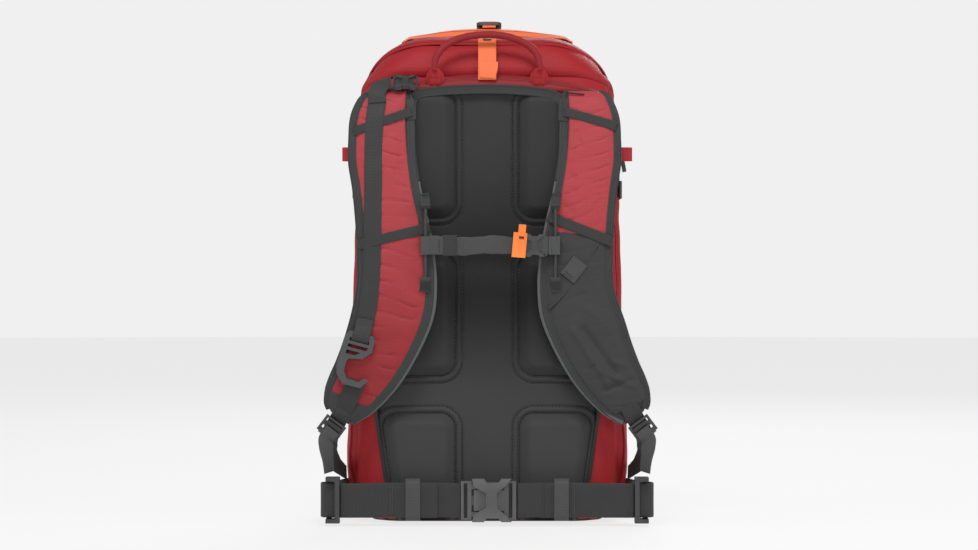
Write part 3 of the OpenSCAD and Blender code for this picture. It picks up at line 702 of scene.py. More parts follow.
def pad_outline(pad, side, offset, step=1.2):
    """A closed path at a distance outside a pad's outline."""
    z0, z1, x_in, x_low, x_high, r = pad
    r = max(2.0, r + offset)
    corners = [(x_in - offset, z0 - offset), (x_low + offset, z0 - offset),
               (x_high + offset, z1 + offset), (x_in - offset, z1 + offset)]
    path = []
    for k in range(4):
        a, b, c = (np.array(corners[(k + i) % 4], float) for i in (-1, 0, 1))
        u, v = (a - b) / np.linalg.norm(a - b), (c - b) / np.linalg.norm(c - b)
        half = math.acos(np.clip(u @ v, -1, 1)) / 2
        centre = b + (u + v) / np.linalg.norm(u + v) * r / math.sin(half)
        p, q = b + u * r / math.tan(half), b + v * r / math.tan(half)
        a0, a1 = (math.atan2(*(w - centre)[::-1]) for w in (p, q))
        if abs(a1 - a0) > math.pi:
            a1 += 2 * math.pi * (1 if a0 > a1 else -1)
        path += [centre + r * np.array([math.cos(t), math.sin(t)]) for t in np.linspace(a0, a1, 14)]
    path = np.array(path + path[:1])
    total = lengths(path)
    w = np.arange(0, total[-1], step)
    xz = np.stack([np.interp(w, total, path[:, i]) for i in (0, 1)], 1)
    x = xz[:, 0] * side
    return np.column_stack([x, panel_surface(x, xz[:, 1]) - 0.75, xz[:, 1]])


def build_back_panel():
    zs = np.linspace(3, 474, 300)
    us = np.concatenate([np.linspace(-1, -0.93, 12)[:-1], np.linspace(-0.93, 0.93, 170),
                         np.linspace(0.93, 1, 12)[1:]])
    u, z = np.meshgrid(us, zs)
    x = u * panel_half(z)
    y = panel_surface(x, z)
    level = np.stack([x, 0 * x, z], -1)
    y = y + (0.5 * wobble(level, 0.014, 6) + 0.16 * wobble(level, 0.06, 2))
    y = np.minimum(y, -85.2)
    grid = np.stack([x, y, z], -1)
    first = grid[:, :1] + [1.0, 3, 0]
    last = grid[:, -1:] + [-1.0, 3, 0]
    first[..., 1] = last[..., 1] = PANEL_BACK_Y
    panel = surface("back_panel", np.concatenate([first, grid, last], 1), FOAM, "pack")
    pads = [f"back_pad_{a}_{b}" for a in ("upper", "middle", "lower") for b in ("left", "right")]
    stands_for(panel, "back_board", *pads, slot="foam", fill=0.7)
    # stitches on both sides of each pad's welt, where that is on the panel
    paths = []
    for pad, side, offset in [(p, s, o) for p in PADS for s in (-1, 1) for o in (0.2, 8.0)]:
        path = pad_outline(pad, side, offset)
        x, z = path[:, 0], path[:, 2]
        keep = (z > 5) & (z < 468) & (np.abs(x) < panel_half(z) - 5)
        run = []
        for p, k in zip([*path, None], [*keep, False]):
            if k:
                run.append(p)
                continue
            if len(run) > 4:
                paths.append(run)
            run = []
    stitches("panel_stitching", paths, "pack", THREAD, pitch=3.9, length=2.3, width=1.5, lift=0.5)
    z = np.linspace(6, 466, 60)
    for side, word in SIDES:
        path = np.column_stack([side * (panel_half(z) - 0.3), np.full(60, -86.2), z])
        ribbon("panel_binding_" + word, path, [0.45 * side, 0.9, 0], 8, 1.4, EDGE, "pack", curve=False)


# ---------------------------------------------------------------- shoulder straps

# stations down the left strap: outer edge x and z, inner edge x and z, the back face's y, share of THICK
STRAP = np.array([
    [-127, 474, -84, 474, -98, 0.42], [-139, 466, -83, 464, -102.6, 0.66],
    [-148, 446, -82, 440, -104.5, 0.92], [-150, 420, -80.5, 416, -107, 1], [-150, 395, -78, 395, -109, 1],
    [-145.5, 366, -72.5, 362, -111, 1], [-142, 328, -65, 330, -112, 1], [-140.5, 292, -58.5, 292, -112, 1],
    [-141, 262, -56.5, 260, -112, 1], [-146, 234, -59.5, 229, -112, 1], [-154, 205, -71, 199, -111, 1],
    [-163, 180, -88, 168, -110, 1], [-170.5, 163, -104, 146, -109, 0.95],
    [-175.5, 148, -124, 126, -108, 0.85], [-176, 135, -141, 115, -107, 0.7],
    [-171, 124, -152, 110, -106, 0.55]], float)
THICK = 12
STRAP_END = 14.6    # where the bindings end, as a fractional station
FOLDS = (((95, 211), (130, 156), 3.0, 4.0), ((124, 168), (162, 151), 2.6, 3.4),
         ((128, 148), (160, 160), -2.4, 3.4), ((104, 214), (138, 168), -2.2, 4.5),
         ((138, 178), (163, 172), 1.8, 3.0), ((112, 236), (150, 196), 1.4, 6))    # start, end, depth, width


def station(t):
    """A strap station at a fractional index, by Catmull-Rom."""
    ext = np.vstack([2 * STRAP[0] - STRAP[1], STRAP, 2 * STRAP[-1] - STRAP[-2]])
    i = int(min(max(math.floor(t), 0), len(STRAP) - 2))
    return catmull_rom(*ext[i:i + 4], t - i)


def strap_at(t, u, lift=0.0):
    """A point on the front of the left strap. u runs from its outer edge to its inner one."""
    s = station(t)
    e = min(1, abs(2 * u - 1))
    front = THICK * s[5] * (0.60 + 0.40 * (1 - e ** 4) ** 0.5)
    return np.array([s[0] + (s[2] - s[0]) * u, s[4] - front - lift, s[1] + (s[3] - s[1]) * u])


SAMPLES = np.array([strap_at(t, u) for t in np.linspace(0, 15, 301) for u in np.linspace(0, 1, 41)])


def strap_y(x, z, lift=0.0):
    """The strap's front face at x, z, on either side."""
    d = (SAMPLES[:, 0] + abs(x)) ** 2 + (SAMPLES[:, 2] - z) ** 2
    near = np.argsort(d)[:4]
    return SAMPLES[near, 1].min() - lift


def flip(points, side):
    """Mirrors points made for the left strap onto the right one."""
    p = np.array(points, float)
    if side > 0:
        narrow = smoothstep(215, 270, p[..., 2]) * smoothstep(480, 462, p[..., 2])
        p[..., 0] = -p[..., 0] - 5.5 * narrow * smoothstep(90, 150, -p[..., 0])
    return p


def puff(obj, pinned, share, pressure=-1.2, growth=0.02, cap=0.5, frames=16):
    """Cloth simulation with a held border, then applied.

    A point moves by at most cap millimetres times its share.
    """
    rest = np.array([v.co for v in obj.data.vertices])
    group = obj.vertex_groups.new(name="held")
    group.add([int(i) for i in np.flatnonzero(pinned)], 1.0, "REPLACE")
    cloth = obj.modifiers.new("cloth", "CLOTH")
    settings = {"quality": 5, "mass": 0.15, "tension_stiffness": 12, "compression_stiffness": 12,
                "bending_stiffness": 0.12, "vertex_group_mass": "held", "shrink_min": -growth,
                "use_pressure": True, "uniform_pressure_force": pressure}
    for key, value in settings.items():
        setattr(cloth.settings, key, value)
    cloth.settings.effector_weights.gravity = 0
    cloth.collision_settings.use_collision = False
    cloth.point_cache.frame_start, cloth.point_cache.frame_end = 1, frames
    for f in range(1, frames + 1):
        scene.frame_set(f)
    graph = bpy.context.evaluated_depsgraph_get()
    moved = np.array([v.co for v in obj.evaluated_get(graph).data.vertices])
    obj.modifiers.remove(cloth)
    obj.vertex_groups.remove(group)
    scene.frame_set(1)
    step = moved - rest
    size = np.linalg.norm(step, axis=1)[:, None]
    step *= np.minimum(1, cap * MM / np.maximum(size, 1e-9)) * share.reshape(-1, 1)
    obj.data.vertices.foreach_set("co", (rest + step).astype(np.float32).ravel())
    obj.data.update()


def strap_cloth(name, side, t0, t1, u0, u1, material, wrinkle, nodes, slot, seed, lift=1.0, folds_at=()):
    """The fabric over a strap between its bindings, quilted out and wrinkled."""
    rows = int((t1 - t0) * 20)
    ts, us = np.linspace(t0, t1, rows), np.linspace(u0, u1, 44)
    grid = np.array([[strap_at(t, u, lift) for u in us] for t in ts])
    e = np.abs(2 * (us - u0) / (u1 - u0) - 1)[None, :]
    ends = np.minimum(ts - t0, t1 - ts)[:, None]
    fall = (1 - e ** 3) * smoothstep(0, 0.25, ends)
    a, b = wobble(grid, 0.011, seed), wobble(grid, 0.035, seed + 7)
    along = grid[..., 2] + 0.22 * grid[..., 0]
    folds = -3.2 * (1 - np.abs(np.sin(along / 5.2 + 3 * a + 0.6 * b))) ** 5
    folds *= smoothstep(-0.35, 0.3, b) * (0.35 + 0.65 * e)
    folds += 0.8 * np.sin(along / 7.5 + 5 * a) * smoothstep(-0.3, 0.4, a)
    folds += 0.45 * np.sin(along / 2.4 + 4 * b) * e ** 2
    grid[..., 1] -= fall * (1.3 + wrinkle * folds + 0.5 * b) - 0.7 * e ** 10
    # the pocket's slack gathers in curved folds above its lower corner
    x, z = -grid[..., 0], grid[..., 2]
    for (ax, az), (bx, bz), deep, wide in folds_at:
        dx, dz = bx - ax, bz - az
        f = np.clip(((x - ax) * dx + (z - az) * dz) / (dx ** 2 + dz ** 2), 0, 1)
        grid[..., 1] -= deep * bump_line(np.hypot(x - ax - f * dx, z - az - f * dz), wide) * fall
    obj = surface(name, flip(grid, side), material, None)
    rim = np.zeros(grid.shape[:2], bool)
    rim[[0, -1]] = rim[:, [0, -1]] = True
    puff(obj, rim.ravel(), fall)
    thicken(obj, 0.0009)
    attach(obj, "strap_left" if side < 0 else "strap_right")
    stands_for(obj, *nodes, slot=slot, fill=0.7)


def edge_path(u, top, t0, t1, lift, count=110):
    """A line down the strap at u, which starts at another u, top, at the strap's head."""
    ts = np.linspace(t0, t1, count)
    return np.array([strap_at(t, v, lift) for t, v in zip(ts, top + (u - top) * smoothstep(2, 5, ts))])


def across(t0, t1, count=110):
    """The strap's direction from edge to edge, at points down it."""
    sides = []
    for t in np.linspace(t0, t1, count):
        s = station(t)
        v = np.array([s[2] - s[0], 0, s[3] - s[1]])
        sides.append(v / np.linalg.norm(v))
    return np.array(sides)


def bar(name, start, end, width, body):
    """Webbing sewn across a strap and folded round its edges."""
    ks = np.linspace(0, 1, 24)
    p = np.array([[start[0] + (end[0] - start[0]) * k, 0, start[1] + (end[1] - start[1]) * k] for k in ks])
    for q, k in zip(p, ks):
        q[1] = strap_y(q[0], q[2], 3.0 + 0.6 * math.sin(math.pi * k))
    v = np.array([start[1] - end[1], 0, end[0] - start[0]], float)
    v /= np.linalg.norm(v)
    d = (p[-1] - p[0]) / np.linalg.norm(p[-1] - p[0])
    p = np.vstack([p[0] - d * 2.2 + [0, 5, 0], p[0] - d * 2.6 + [0, 1.5, 0], p, p[-1] + d * 2 + [0, 2, 0]])
    ribbon(name, p, v, width, 1.5, WEB, body, count=60)


def build_strap(side, word):
    """A strap's foam, its bindings with their stitches, and its rounded edges."""
    body = "strap_" + word
    a = np.linspace(0, 2 * np.pi, 48, endpoint=False)
    rings = []
    for t in np.linspace(-0.1, 15, 150):
        s = station(t)
        u = 0.5 - 0.5 * np.sign(np.cos(a)) * np.abs(np.cos(a)) ** 0.42
        e = np.abs(np.sin(a)) ** 0.55 * np.sign(np.sin(a))
        half = THICK * s[5] / 2
        rings.append(np.stack([s[0] + (s[2] - s[0]) * u, s[4] - half - e * half * 0.97,
                               s[1] + (s[3] - s[1]) * u], -1))
    rings = flip(rings, side)
    uv = ring_uv(a * 15, np.linspace(0, 420, len(rings)))
    pad = piece("strap_foam_" + word, rings.reshape(-1, 3), loop_solid(rings), FOAM, body, uv)
    stands_for(pad, "strap_pad_" + word, slot="foam", fill=0.8)
    for edge, u, top, t0, width in (("outer", 0.062, 0.062, 0.05, 9.0), ("inner", 0.925, 0.975, 0.9, 9.5)):
        path = flip(edge_path(u, top, t0, STRAP_END, 0.9), side)
        wide = flip(across(t0, STRAP_END), side) * width
        ribbon(f"strap_binding_{edge}_{word}", path, wide / width, width, 1.5, EDGE, body, curve=False,
               arch=0.5)
        for k, row in ((-0.36, "a"), (0.36, "b")):
            stitches(f"strap_stitching_{edge}_{word}_{row}", [path + wide * k + [0, -0.85, 0]], body,
                     **GREY_ROW)
    ts = np.linspace(0.3, STRAP_END, 120)
    rim = flip([strap_at(t, 0.995, -0.4) for t in ts], side) + [0, -0.8, 0]
    tube("strap_piping_" + word, rim[36:], np.linspace(2.0, 3.1, 84), PIPING, body, curve=False)
    tube("strap_rim_" + word, rim[:37], 2.1, EDGE, body, curve=False)
    rim = flip([strap_at(t, 0.005, -1.0) for t in ts], side)
    tube("strap_edge_" + word, rim, 2.2, EDGE, body, curve=False)


def build_straps():
    for side, word in SIDES:
        build_strap(side, word)
    strap_cloth("strap_fabric_left", -1, 0.0, 13.1, 0.10, 0.885, COVER, 1.1, ["strap_cover_left"],
                "rose_ripstop", 1)
    strap_cloth("strap_end_left", -1, 12.95, 14.9, 0.08, 0.9, POCKET, 0.3, [], "stretch", 11, lift=1.6)
    strap_cloth("strap_fabric_right", 1, 0.0, 6.4, 0.10, 0.885, COVER, 0.85, ["strap_cover_right"],
                "rose_ripstop", 31)
    strap_cloth("strap_stretch_pocket", 1, 6.25, 13.6, 0.10, 0.885, POCKET, 0.35, ["strap_pocket"],
                "stretch", 51, lift=1.5, folds_at=FOLDS)

    bar("strap_bar_left_upper", (-143, 430), (-84, 451), 10, "strap_left")
    bar("strap_bar_left_lower", (-138, 306.5), (-64.5, 324), 11, "strap_left")
    bar("strap_bar_right_upper", (138, 436), (86, 451), 10, "strap_right")
    bar("strap_bar_right_lower", (133.5, 310), (68, 336), 11, "strap_right")
    # the pocket's slanted seam, its bound mouth, and a folded webbing tab
    line = spline([(120, 0, 306), (106, 0, 285), (94, 0, 267), (82, 0, 251), (67, 0, 236)], 40)
    seam = np.array([(x, strap_y(x, z, 3.4), z) for x, _, z in line])
    stitches("pocket_seam", [seam + [1.6, 0, -1.2]], "strap_right", THREAD, pitch=3, length=2)
    tube("pocket_ridge", seam + [0, 0.8, 0], 1.5, POCKET, "strap_right", flat=0.8)
    c, lean = np.array([94.2, 0, 279]), math.radians(38)
    d = np.array([math.sin(lean), 0, math.cos(lean)])
    w = np.array([d[2], 0, -d[0]])
    tab = np.array([c + d * k for k in np.linspace(-12, 12, 14)])
    for q in tab:
        q[1] = strap_y(q[0], q[2], 4.6)
    ribbon("pocket_tab", tab, w, 19, 1.8, WEB_GREY, "strap_right")
    left = np.array([c - d * 10 + w * k for k in np.linspace(-8, 8, 8)])
    for q in left:
        q[1] = strap_y(q[0], q[2], 5.6)
    stitches("pocket_tab_stitching", [left, left + d * 2.5], "strap_right", THREAD, pitch=2.6, length=1.8)

    for side, word in SIDES:
        body = "strap_" + word
        # webbing round the ladder lock's upper bar, sewn to the strap's end
        top = [[-150, strap_y(-150, 136, 1.6), 137], [-154.5, strap_y(-154.5, 129, 1.8), 129],
               [-159, -116.5, 121], [-161.5, -113.2, 117], [-162.8, -109.5, 115.2], [-161.5, -106, 117]]
        lean = flip([0.8, 0, -0.6], side)
        ribbon("lock_loop_" + word, flip(top, side), lean, 19.5, 1.6, WEB, body, count=50)
        tail = [[-168.5, -113.5, 104], [-172.5, -113.8, 99], [-176, -113.4, 93], [-175.6, -114.4, 84],
                [-173.8, -115, 72], [-172.8, -114.8, 63], [-172.4, -114.2, 57.6]]
        sides = [[0.8, 0, -0.6], [0.8, 0, -0.6], [0.82, 0.2, -0.5], [0.85, 0.42, -0.3], [0.68, 0.74, 0],
                 [0.6, 0.8, 0], [0.58, 0.82, 0]]
        last = ribbon("strap_tail_" + word, flip(tail, side), flip(sides, side), 17, 1.4, WEB_GREY, None)
        flip(np.array([-172.4, -113.6, 58]), side) * MM
        flip(np.array([-174.5, -113.6, 94]), side) * MM
        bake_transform(last)
        stands_for(last, "strap_trim_" + word, slot="webbing")
        web = [[-169.5, -108, 101], [-171.5, -105, 96.5], [-173, -100.5, 89], [-172.7, -93, 78],
               [-167.7, -82, 66], [-160.6, -71.5, 58], [-156.4, -65.5, 54]]
        sides = [[0.8, 0, -0.6], [0.85, 0, -0.5], [0.9, 0.1, -0.4], [0.75, 0.65, -0.1], [0.6, 0.8, 0],
                 [0.45, 0.89, 0], [0.4, 0.9, 0]]
        run = ribbon("shoulder_web_" + word, flip(web, side), flip(sides, side), 18, 1.5, WEB, None,
                     count=70)
        flip(np.array([-160, -71, 58]), side) * MM
        flip(np.array([-171.5, -105, 98]), side) * MM
        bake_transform(run)
        stands_for(run, "shoulder_webbing_" + word, slot="webbing")
        thread = [[-160.2, -110.4, 119.6], [-162.8, -107.2, 115], [-165, -107.6, 111],
                  [-166.8, -111.6, 108.5], [-168.6, -111.8, 106], [-169.6, -108.2, 103.6],
                  [-171.4, -106.4, 100]]
        ribbon("lock_web_" + word, flip(thread, side), lean, 19.6, 1.3, WEB, "lock_" + word, count=50)


def build_carry():
    xz = [(-119.5, 464), (-121.5, 452), (-122.6, 440), (-123.5, 422), (-124, 395), (-124, 366),
          (-124.5, 328), (-125, 292), (-126.5, 262), (-130, 236), (-134.4, 213)]
    path = np.array([[x, strap_y(x, z, 3.0 + float(smoothstep(420, 452, z))), z] for x, z in xz])
    path = spline(path, 90)
    path[:, 1] = np.maximum(path[:, 1], -127.4)
    path[:, 1] += 0.25 * np.sin(path[:, 2] / 9)
    sides = np.array([[1, 0, -0.1 - 0.3 * float(smoothstep(250, 213, p[2]))] for p in path])
    web = ribbon("carry_web", path, sides, 19.5, 1.5, WEB, "strap_left", curve=False)
    stands_for(web, "carry_webbing", slot="webbing")
    loop = [(-134.6, -127.6, 212), (-136.6, -128.1, 206), (-138.2, -129.4, 201.4),
            (-138.4, -132, 200.8), (-137.4, -133.4, 205), (-135.6, -132.6, 210.6),
            (-133.4, -130.4, 218), (-132, -129, 225)]
    ribbon("carry_fold", loop, [0.966, 0, -0.259], 18.5, 1.2, WEB, "strap_left", count=50)
    low = [[-160.5, strap_y(-160, 118, 1.5), 117], [-158, strap_y(-158, 122, 2.2), 122],
           [-152, -122.6, 135], [-146, -124.2, 148], [-142.5, -124.8, 156], [-141.8, -123, 157.5]]
    ribbon("carry_web_low", low, [0.906, 0, -0.423], 20, 1.5, WEB, "strap_left", count=40)
    top = [[-120, -117, 461], [-120.6, -115.2, 470.5], [-118.3, -110.8, 477.2], [-113.5, -106.6, 481.8],
           [-109, -104, 484], [-106.2, -103.2, 484.2]]
    sides = [[1, 0, -0.1], [0.93, -0.15, -0.33], [0.72, -0.42, -0.55], [0.4, -0.7, -0.59],
             [0.1, -0.81, -0.57], [0, -0.82, -0.57]]
    run = ribbon("carry_web_top", top, sides, [19.5, 19, 18], 1.5, WEB, None, count=50)
    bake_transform(run)
    stands_for(run, "carry_webbing_top", slot="webbing")


# ---------------------------------------------------------------- yoke, handle and tabs

def build_yoke():
    xs = np.linspace(-138, 138, 170)
    part = np.clip(xs / 128, -1, 1)
    wrap = 54 * smoothstep(116, 138, np.abs(xs)) ** 1.3
    low, high = 474.5 - 5 * part ** 2, 491.5 - 17 * part ** 2
    rows = []
    profile = ((0, -88), (0.03, -92.5), (0.12, -94.6), (0.35, -95.2), (0.6, -94.8), (0.82, -93.2),
               (0.96, -90.6), (1.06, -86.6), (1.16, -81.4), (1.2, -76))
    for k, (f, y) in enumerate(profile):
        z = low + (high - low) * f
        w = np.array([noise.noise(Vector((x * 0.05, k * 0.4, 3))) for x in xs])
        rows.append(np.column_stack([xs, y + 0.7 * w + 2.5 * part ** 4 + wrap, z + 0.5 * w]))
    band = surface("yoke_fabric", rows, YOKE, "pack")
    stands_for(band, "yoke", slot="rose_ripstop", fill=0.5)
    xs = np.linspace(-118, 118, 90)
    line = np.column_stack([xs, -94.9 + 2.5 * (xs / 128) ** 4, 488.2 - 17 * (xs / 128) ** 2])
    stitches("yoke_stitching", [line], "pack", **RED_ROW)
    # the bound edge over the panel, down to the straps
    arc = [(-82.5, -114.6, 442), (-83, -112.6, 450), (-83, -108.6, 458), (-81.5, -103.2, 465.5),
           (-77, -99.6, 470.4), (-69, -97.8, 473.2), (-40, -97.2, 476), (0, -97.2, 477.2),
           (40, -97.2, 475.6), (68, -97.8, 471.8), (77, -99.6, 468.2), (81.8, -103.2, 462.8),
           (83, -108.6, 455), (83, -112.6, 448), (82.5, -114.6, 441)]
    path = spline(arc, 130)
    sides = np.cross(np.gradient(path, axis=0), [0, 1, 0])
    ribbon("panel_top_binding", path, sides, 10.4, 2.2, EDGE, "pack", curve=False, arch=-0.5)
    sides /= np.linalg.norm(sides, axis=1)[:, None]
    for k, word in ((-4, "low"), (4, "high")):
        stitches("panel_top_stitching_" + word, [path + sides * k + [0, -1.25, 0]], "pack", **GREY_ROW)
    # painted shadow: a dark cord along the slit between the yoke and the right strap
    slit = [(86 + 20 * f, strap_y(86 + 20 * f, 470, 3.0), 472.4 - 2 * f) for f in np.linspace(0, 1, 12)]
    tube("yoke_slit_shadow", slit, 0.8, THREAD, "strap_right")


def build_handle():
    a = np.linspace(0, np.pi, 80)
    path = np.column_stack([-58 * np.cos(a), -98 + 11 * np.sin(a), 497 + 41 * np.sin(a) ** 0.75])
    path = spline(path[[0, 1, 2, 4, 7, 11, 16, 22, 30, 40, 49, 57, 63, 68, 72, 75, 77, 78, 79]], 120)
    _, side, normal = frames_along(path, np.cross(np.gradient(path, axis=0), [0, 1, 0]))
    k = np.linspace(0, 2 * np.pi, 24, endpoint=False)
    crease = 1 - 0.10 * np.exp(-((k - 1.2) / 0.25) ** 2)
    ends = smoothstep(0, 0.13, np.minimum(np.linspace(0, 1, 120), np.linspace(1, 0, 120)))
    rings = []
    for i in range(120):
        r = 2.9 + 1.1 * ends[i] + 0.2 * math.sin(i * 0.9) * ends[i]
        rings.append(path[i] + side[i] * (np.cos(k) * r * crease)[:, None]
                     + normal[i] * (np.sin(k) * (2.2 + 1.2 * ends[i]) * crease)[:, None])
    rings = np.array(rings)
    uv = ring_uv(k * 4.6, lengths(path))
    tubular = piece("handle_tube", rings.reshape(-1, 3), loop_solid(rings), HANDLE, "handle", uv)
    stands_for(tubular, "haul_handle", slot="rose_ripstop", fill=0.8)
    us = np.linspace(-1, 1, 15)
    for side, word in SIDES:
        rows = []
        for f, half_w, y in ((0, 10.4, -93.2), (0.1, 10.4, -94.6), (0.5, 10.2, -95.4), (0.72, 8.6, -96.2),
                             (0.88, 5.6, -97.4), (1.0, 3.8, -98)):
            z = np.full(15, 480.5 + 19.5 * f)
            y = y + 1.6 * us ** 4 + 0.3 * np.cos(us * 9)
            rows.append(np.column_stack([side * 57.2 + us * half_w, y, z]))
        patch = surface("handle_patch_" + word, rows, RED, "pack")
        thicken(patch, 0.0018)
        rows = np.array(rows)
        box = [rows[1, 2:13], rows[2, 3:12], rows[1:4, 2], rows[1:4, 12]]
        stitches("handle_patch_stitching_" + word, [b + [0, -1.2, 0] for b in box], "pack", **RED_SMALL)


def build_tabs():
    path = [(0, -95.8, 487.5), (0, -96.2, 490), (0, -94.6, 499), (0, -91, 507), (0, -86, 515),
            (0, -77.5, 528), (0, -71, 536), (0, -69, 538)]
    tab = ribbon("lid_tab", path, [1, 0, 0], 20, 2.0, ORANGE, "pack", count=60, arch=0.3)
    stands_for(tab, "lid_strap", slot="orange_fabric")
    for k, z in ((0, 494), (1, 496.4)):
        stitches(f"lid_tab_stitching_{k}", [[(-8, -96.9, z), (8, -96.9, z)]], "pack", **RED_SMALL)
    slot = spline([(-4.6, -74.4, 533), (0, -74.8, 533), (4.6, -74.4, 533)], 12)
    tube("lid_tab_slot", slot, 1.5, PLASTIC, "pack", flat=0.6)
    low = [(0.6, -97.4, 489), (0.8, -97.9, 491), (1, -97.6, 496), (1.4, -96.2, 503), (1.6, -94.4, 507.5)]
    ribbon("lid_tab_layer", low, [1, 0, 0], [18, 18.5, 20.4, 21, 21], 1.4, ORANGE, "pack",
           count=24)
    # the padded band over the crown, with its ends folded under
    rows = [(30, 534.9, 0.8, 7.5), (24, 536.4, 4.6, 7.5), (10, 539.2, 9.5, 7.2), (-4, 541.6, 10, 6),
            (-18, 542.2, 7, 4), (-26, 541.9, 0.8, 3.2)]    # y, z, thickness, drop at the ends
    xs = np.linspace(-96, 96, 120)
    e = np.clip(np.abs(xs) / 96, 0, 1)
    grid = []
    for y, z, t, drop in spline(rows, 26):
        w = np.array([noise.noise(Vector((x * 0.03, y * 0.03, 1))) for x in xs])
        top = z - drop * e ** 2 + t * (1 - 0.9 * e ** 2.5) + 0.6 * w
        grid.append(np.column_stack([xs, np.full(120, y), top - 3.5 * smoothstep(0.9, 1.0, e)]))
    grid = np.array(grid)
    under = grid[::-1].copy()
    under[..., 2] -= 1.8
    ring = np.swapaxes(np.concatenate([grid, under]), 0, 1)
    uv = ring_uv(np.arange(ring.shape[1]) * 2.2, xs)
    band = piece("lid_band_fabric", ring.reshape(-1, 3), loop_solid(ring), ORANGE, "lid", uv)
    stands_for(band, "lid_band", slot="orange_fabric", fill=0.6)
    over = [(2, -15.5, 552), (2, -12, 556.2), (2, -5.5, 559.3), (2, 3, 558.6), (2, 10, 555.2),
            (2, 15, 549)]
    ribbon("lid_band_loop", over, [1, 0, 0], 15, 1.3, ORANGE, "lid", count=30)
    stitches("lid_band_stitching", [grid[2] + [0, 0, 0.4], grid[-4] + [0, 0, 0.4]], "lid",
             out=(0, 0, 1), **RED_ROW)


# ---------------------------------------------------------------- chest strap and hip belt

CHEST_Z, HIP_Z = 305, 27.5    # heights of the two straps


def build_chest():
    xs = np.linspace(-60.6, 33.5, 70)
    path = np.column_stack([xs, -132.7 + 0.35 * np.sin(xs / 7), CHEST_Z + 0.9 * np.sin(xs / 11 + 1)])
    width = 19.4 + 0.9 * np.sin(xs / 5.5) + 0.4 * np.sin(xs / 2.3)
    web = ribbon("chest_web", path, UP, width, 1.5, WEB_GREY, None, curve=False)
    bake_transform(web)
    stands_for(web, "sternum_webbing", slot="webbing")

    def level(xy):
        return [(x, y, CHEST_Z) for x, y in xy]

    fold = level([(-64.6, -131), (-64.4, -134.2), (-60, -134.8), (-50, -134.9), (-36, -134.6)])
    ribbon("chest_web_fold", fold, UP, 19.8, 1.4, WEB_GREY, "chest_left", count=40)
    rows = [[(x, y, CHEST_Z - 7.5), (x, y, CHEST_Z + 7.5)] for x, y in ((-52, -135.8), (-38, -135.5))]
    stitches("chest_web_stitching", rows, "chest_left", THREAD, pitch=2.2, length=1.5)
    hoop = level([(-47, -136.2), (-47.4, -133.4), (-44, -131.0), (-37, -131.0), (-33.6, -133.4),
                  (-34, -136.2), (-37, -137.2), (-44, -137.2), (-47, -136.2)])
    ribbon("chest_web_keeper", spline(hoop, 50), UP, 22.5, 1.1, EDGE, "chest_left", curve=False)
    short = level([(58.5, -133), (62, -133.4), (66.5, -132.8), (69.4, -131.6)])
    ribbon("chest_web_right", short, UP, 18.5, 1.5, WEB_GREY, "chest_right", count=24)

    # webbing sewn over both ends of each rail
    for rail, (side, word) in zip((-67, 74), SIDES):
        for k, z0, end in ((1, 345.7, "top"), (-1, 270.3, "low")):
            path = [(rail, -133.0, z0), (rail, -134.3, z0 + 1.6 * k), (rail, -134.1, z0 + 4.4 * k)]
            for d, w in ((1.0, 10.5), (1.8, 16)):
                x, z = rail + side * d, z0 + w * k
                path.append((x, strap_y(x, z, 3.2), z))
            ribbon(f"rail_cover_{end}_{word}", path, [1, 0, 0], 10.5, 1.3, EDGE, "strap_" + word, count=30)


def build_belt():
    bar_x, bar_y, r = -173, -108.5, 8.2    # the adjuster's bar, and the webbing's turn round it
    around = [(bar_x + r * math.cos(math.radians(a)), bar_y + r * math.sin(math.radians(a)))
              for a in range(90, 271, 22)]
    for side, word in SIDES:
        body = None if side < 0 else "pack"
        xy = [(-155.4, -45), (-157.2, -54), (-159.4, -64), (-162.6, -80), (-165.6, -94), (-169, -99.6)]
        xy += around + [(-160, -117.2), (-140, -117), (-120, -117), (-95, -117), (-72, -117.1),
                        (-50, -118), (-28.5 if side < 0 else -33.5, -120)]
        path = spline([(x, y, HIP_Z) for x, y in xy], 170)
        s = lengths(path)
        path[:, 2] += 0.5 * np.sin(s / 23)
        path[:, 1] += 0.35 * np.sin(s / 17) * smoothstep(-150, -130, path[:, 0])
        sides = np.column_stack([0 * s, 0.02 * np.sin(s / 31), 0 * s + 1])
        web = ribbon("belt_web_" + word, flip(path, side), flip(sides, side), 37.6, 2.0, WEB, body,
                     curve=False)
        stands_for(web, "hip_webbing_" + word, slot="webbing")
        if side < 0:
            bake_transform(web)
        # the free end, doubled back under the keeper
        xy = [(-160, -119.5), (-150, -119.8), (-120, -119.6), (-95, -119.5), (-75, -119.6), (-60, -120.0),
              (-54 if side < 0 else -63, -120.2)]
        path = spline([(x, y, 27.2) for x, y in xy], 60)
        path[:, 1] -= 0.3 * np.sin(path[:, 0] / 13)
        tail = ribbon("belt_tail_" + word, flip(path, side), UP, 37.4, 1.9, WEB, body, curve=False)
        if side < 0:
            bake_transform(tail)
        yz = [(-113.6, 6.6), (-113.2, HIP_Z), (-113.6, 48.2), (-117, 49.9), (-121, 48.4), (-122.3, 44),
              (-122.6, HIP_Z), (-122.3, 11), (-121, 6.6), (-117, 5.3), (-113.6, 6.6)]
        ring = spline([(-81, y, z) for y, z in yz], 70)
        keeper = ribbon("belt_keeper_" + word, flip(ring, side), [1, 0, 0], 16, 1.2, WEB_GREY, "pack",
                        curve=False)
        if side < 0:
            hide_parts("hip_keepers")
        rows = [[(-side * x, -121, 11), (-side * x, -121, 44)]
                for x in ((-105.5, -103.2) if side < 0 else (-93, -95.2))]
        stitches("belt_stitching_" + word, rows, "pack", THREAD_GREY, pitch=2.8, length=1.9)
    near = [(33.5, -122, HIP_Z), (40, -121.6, HIP_Z), (52, -120.9, HIP_Z), (60, -120.2, HIP_Z)]
    ribbon("belt_layer_right", near, UP, 37.2, 1.8, WEB, "pack", count=20)


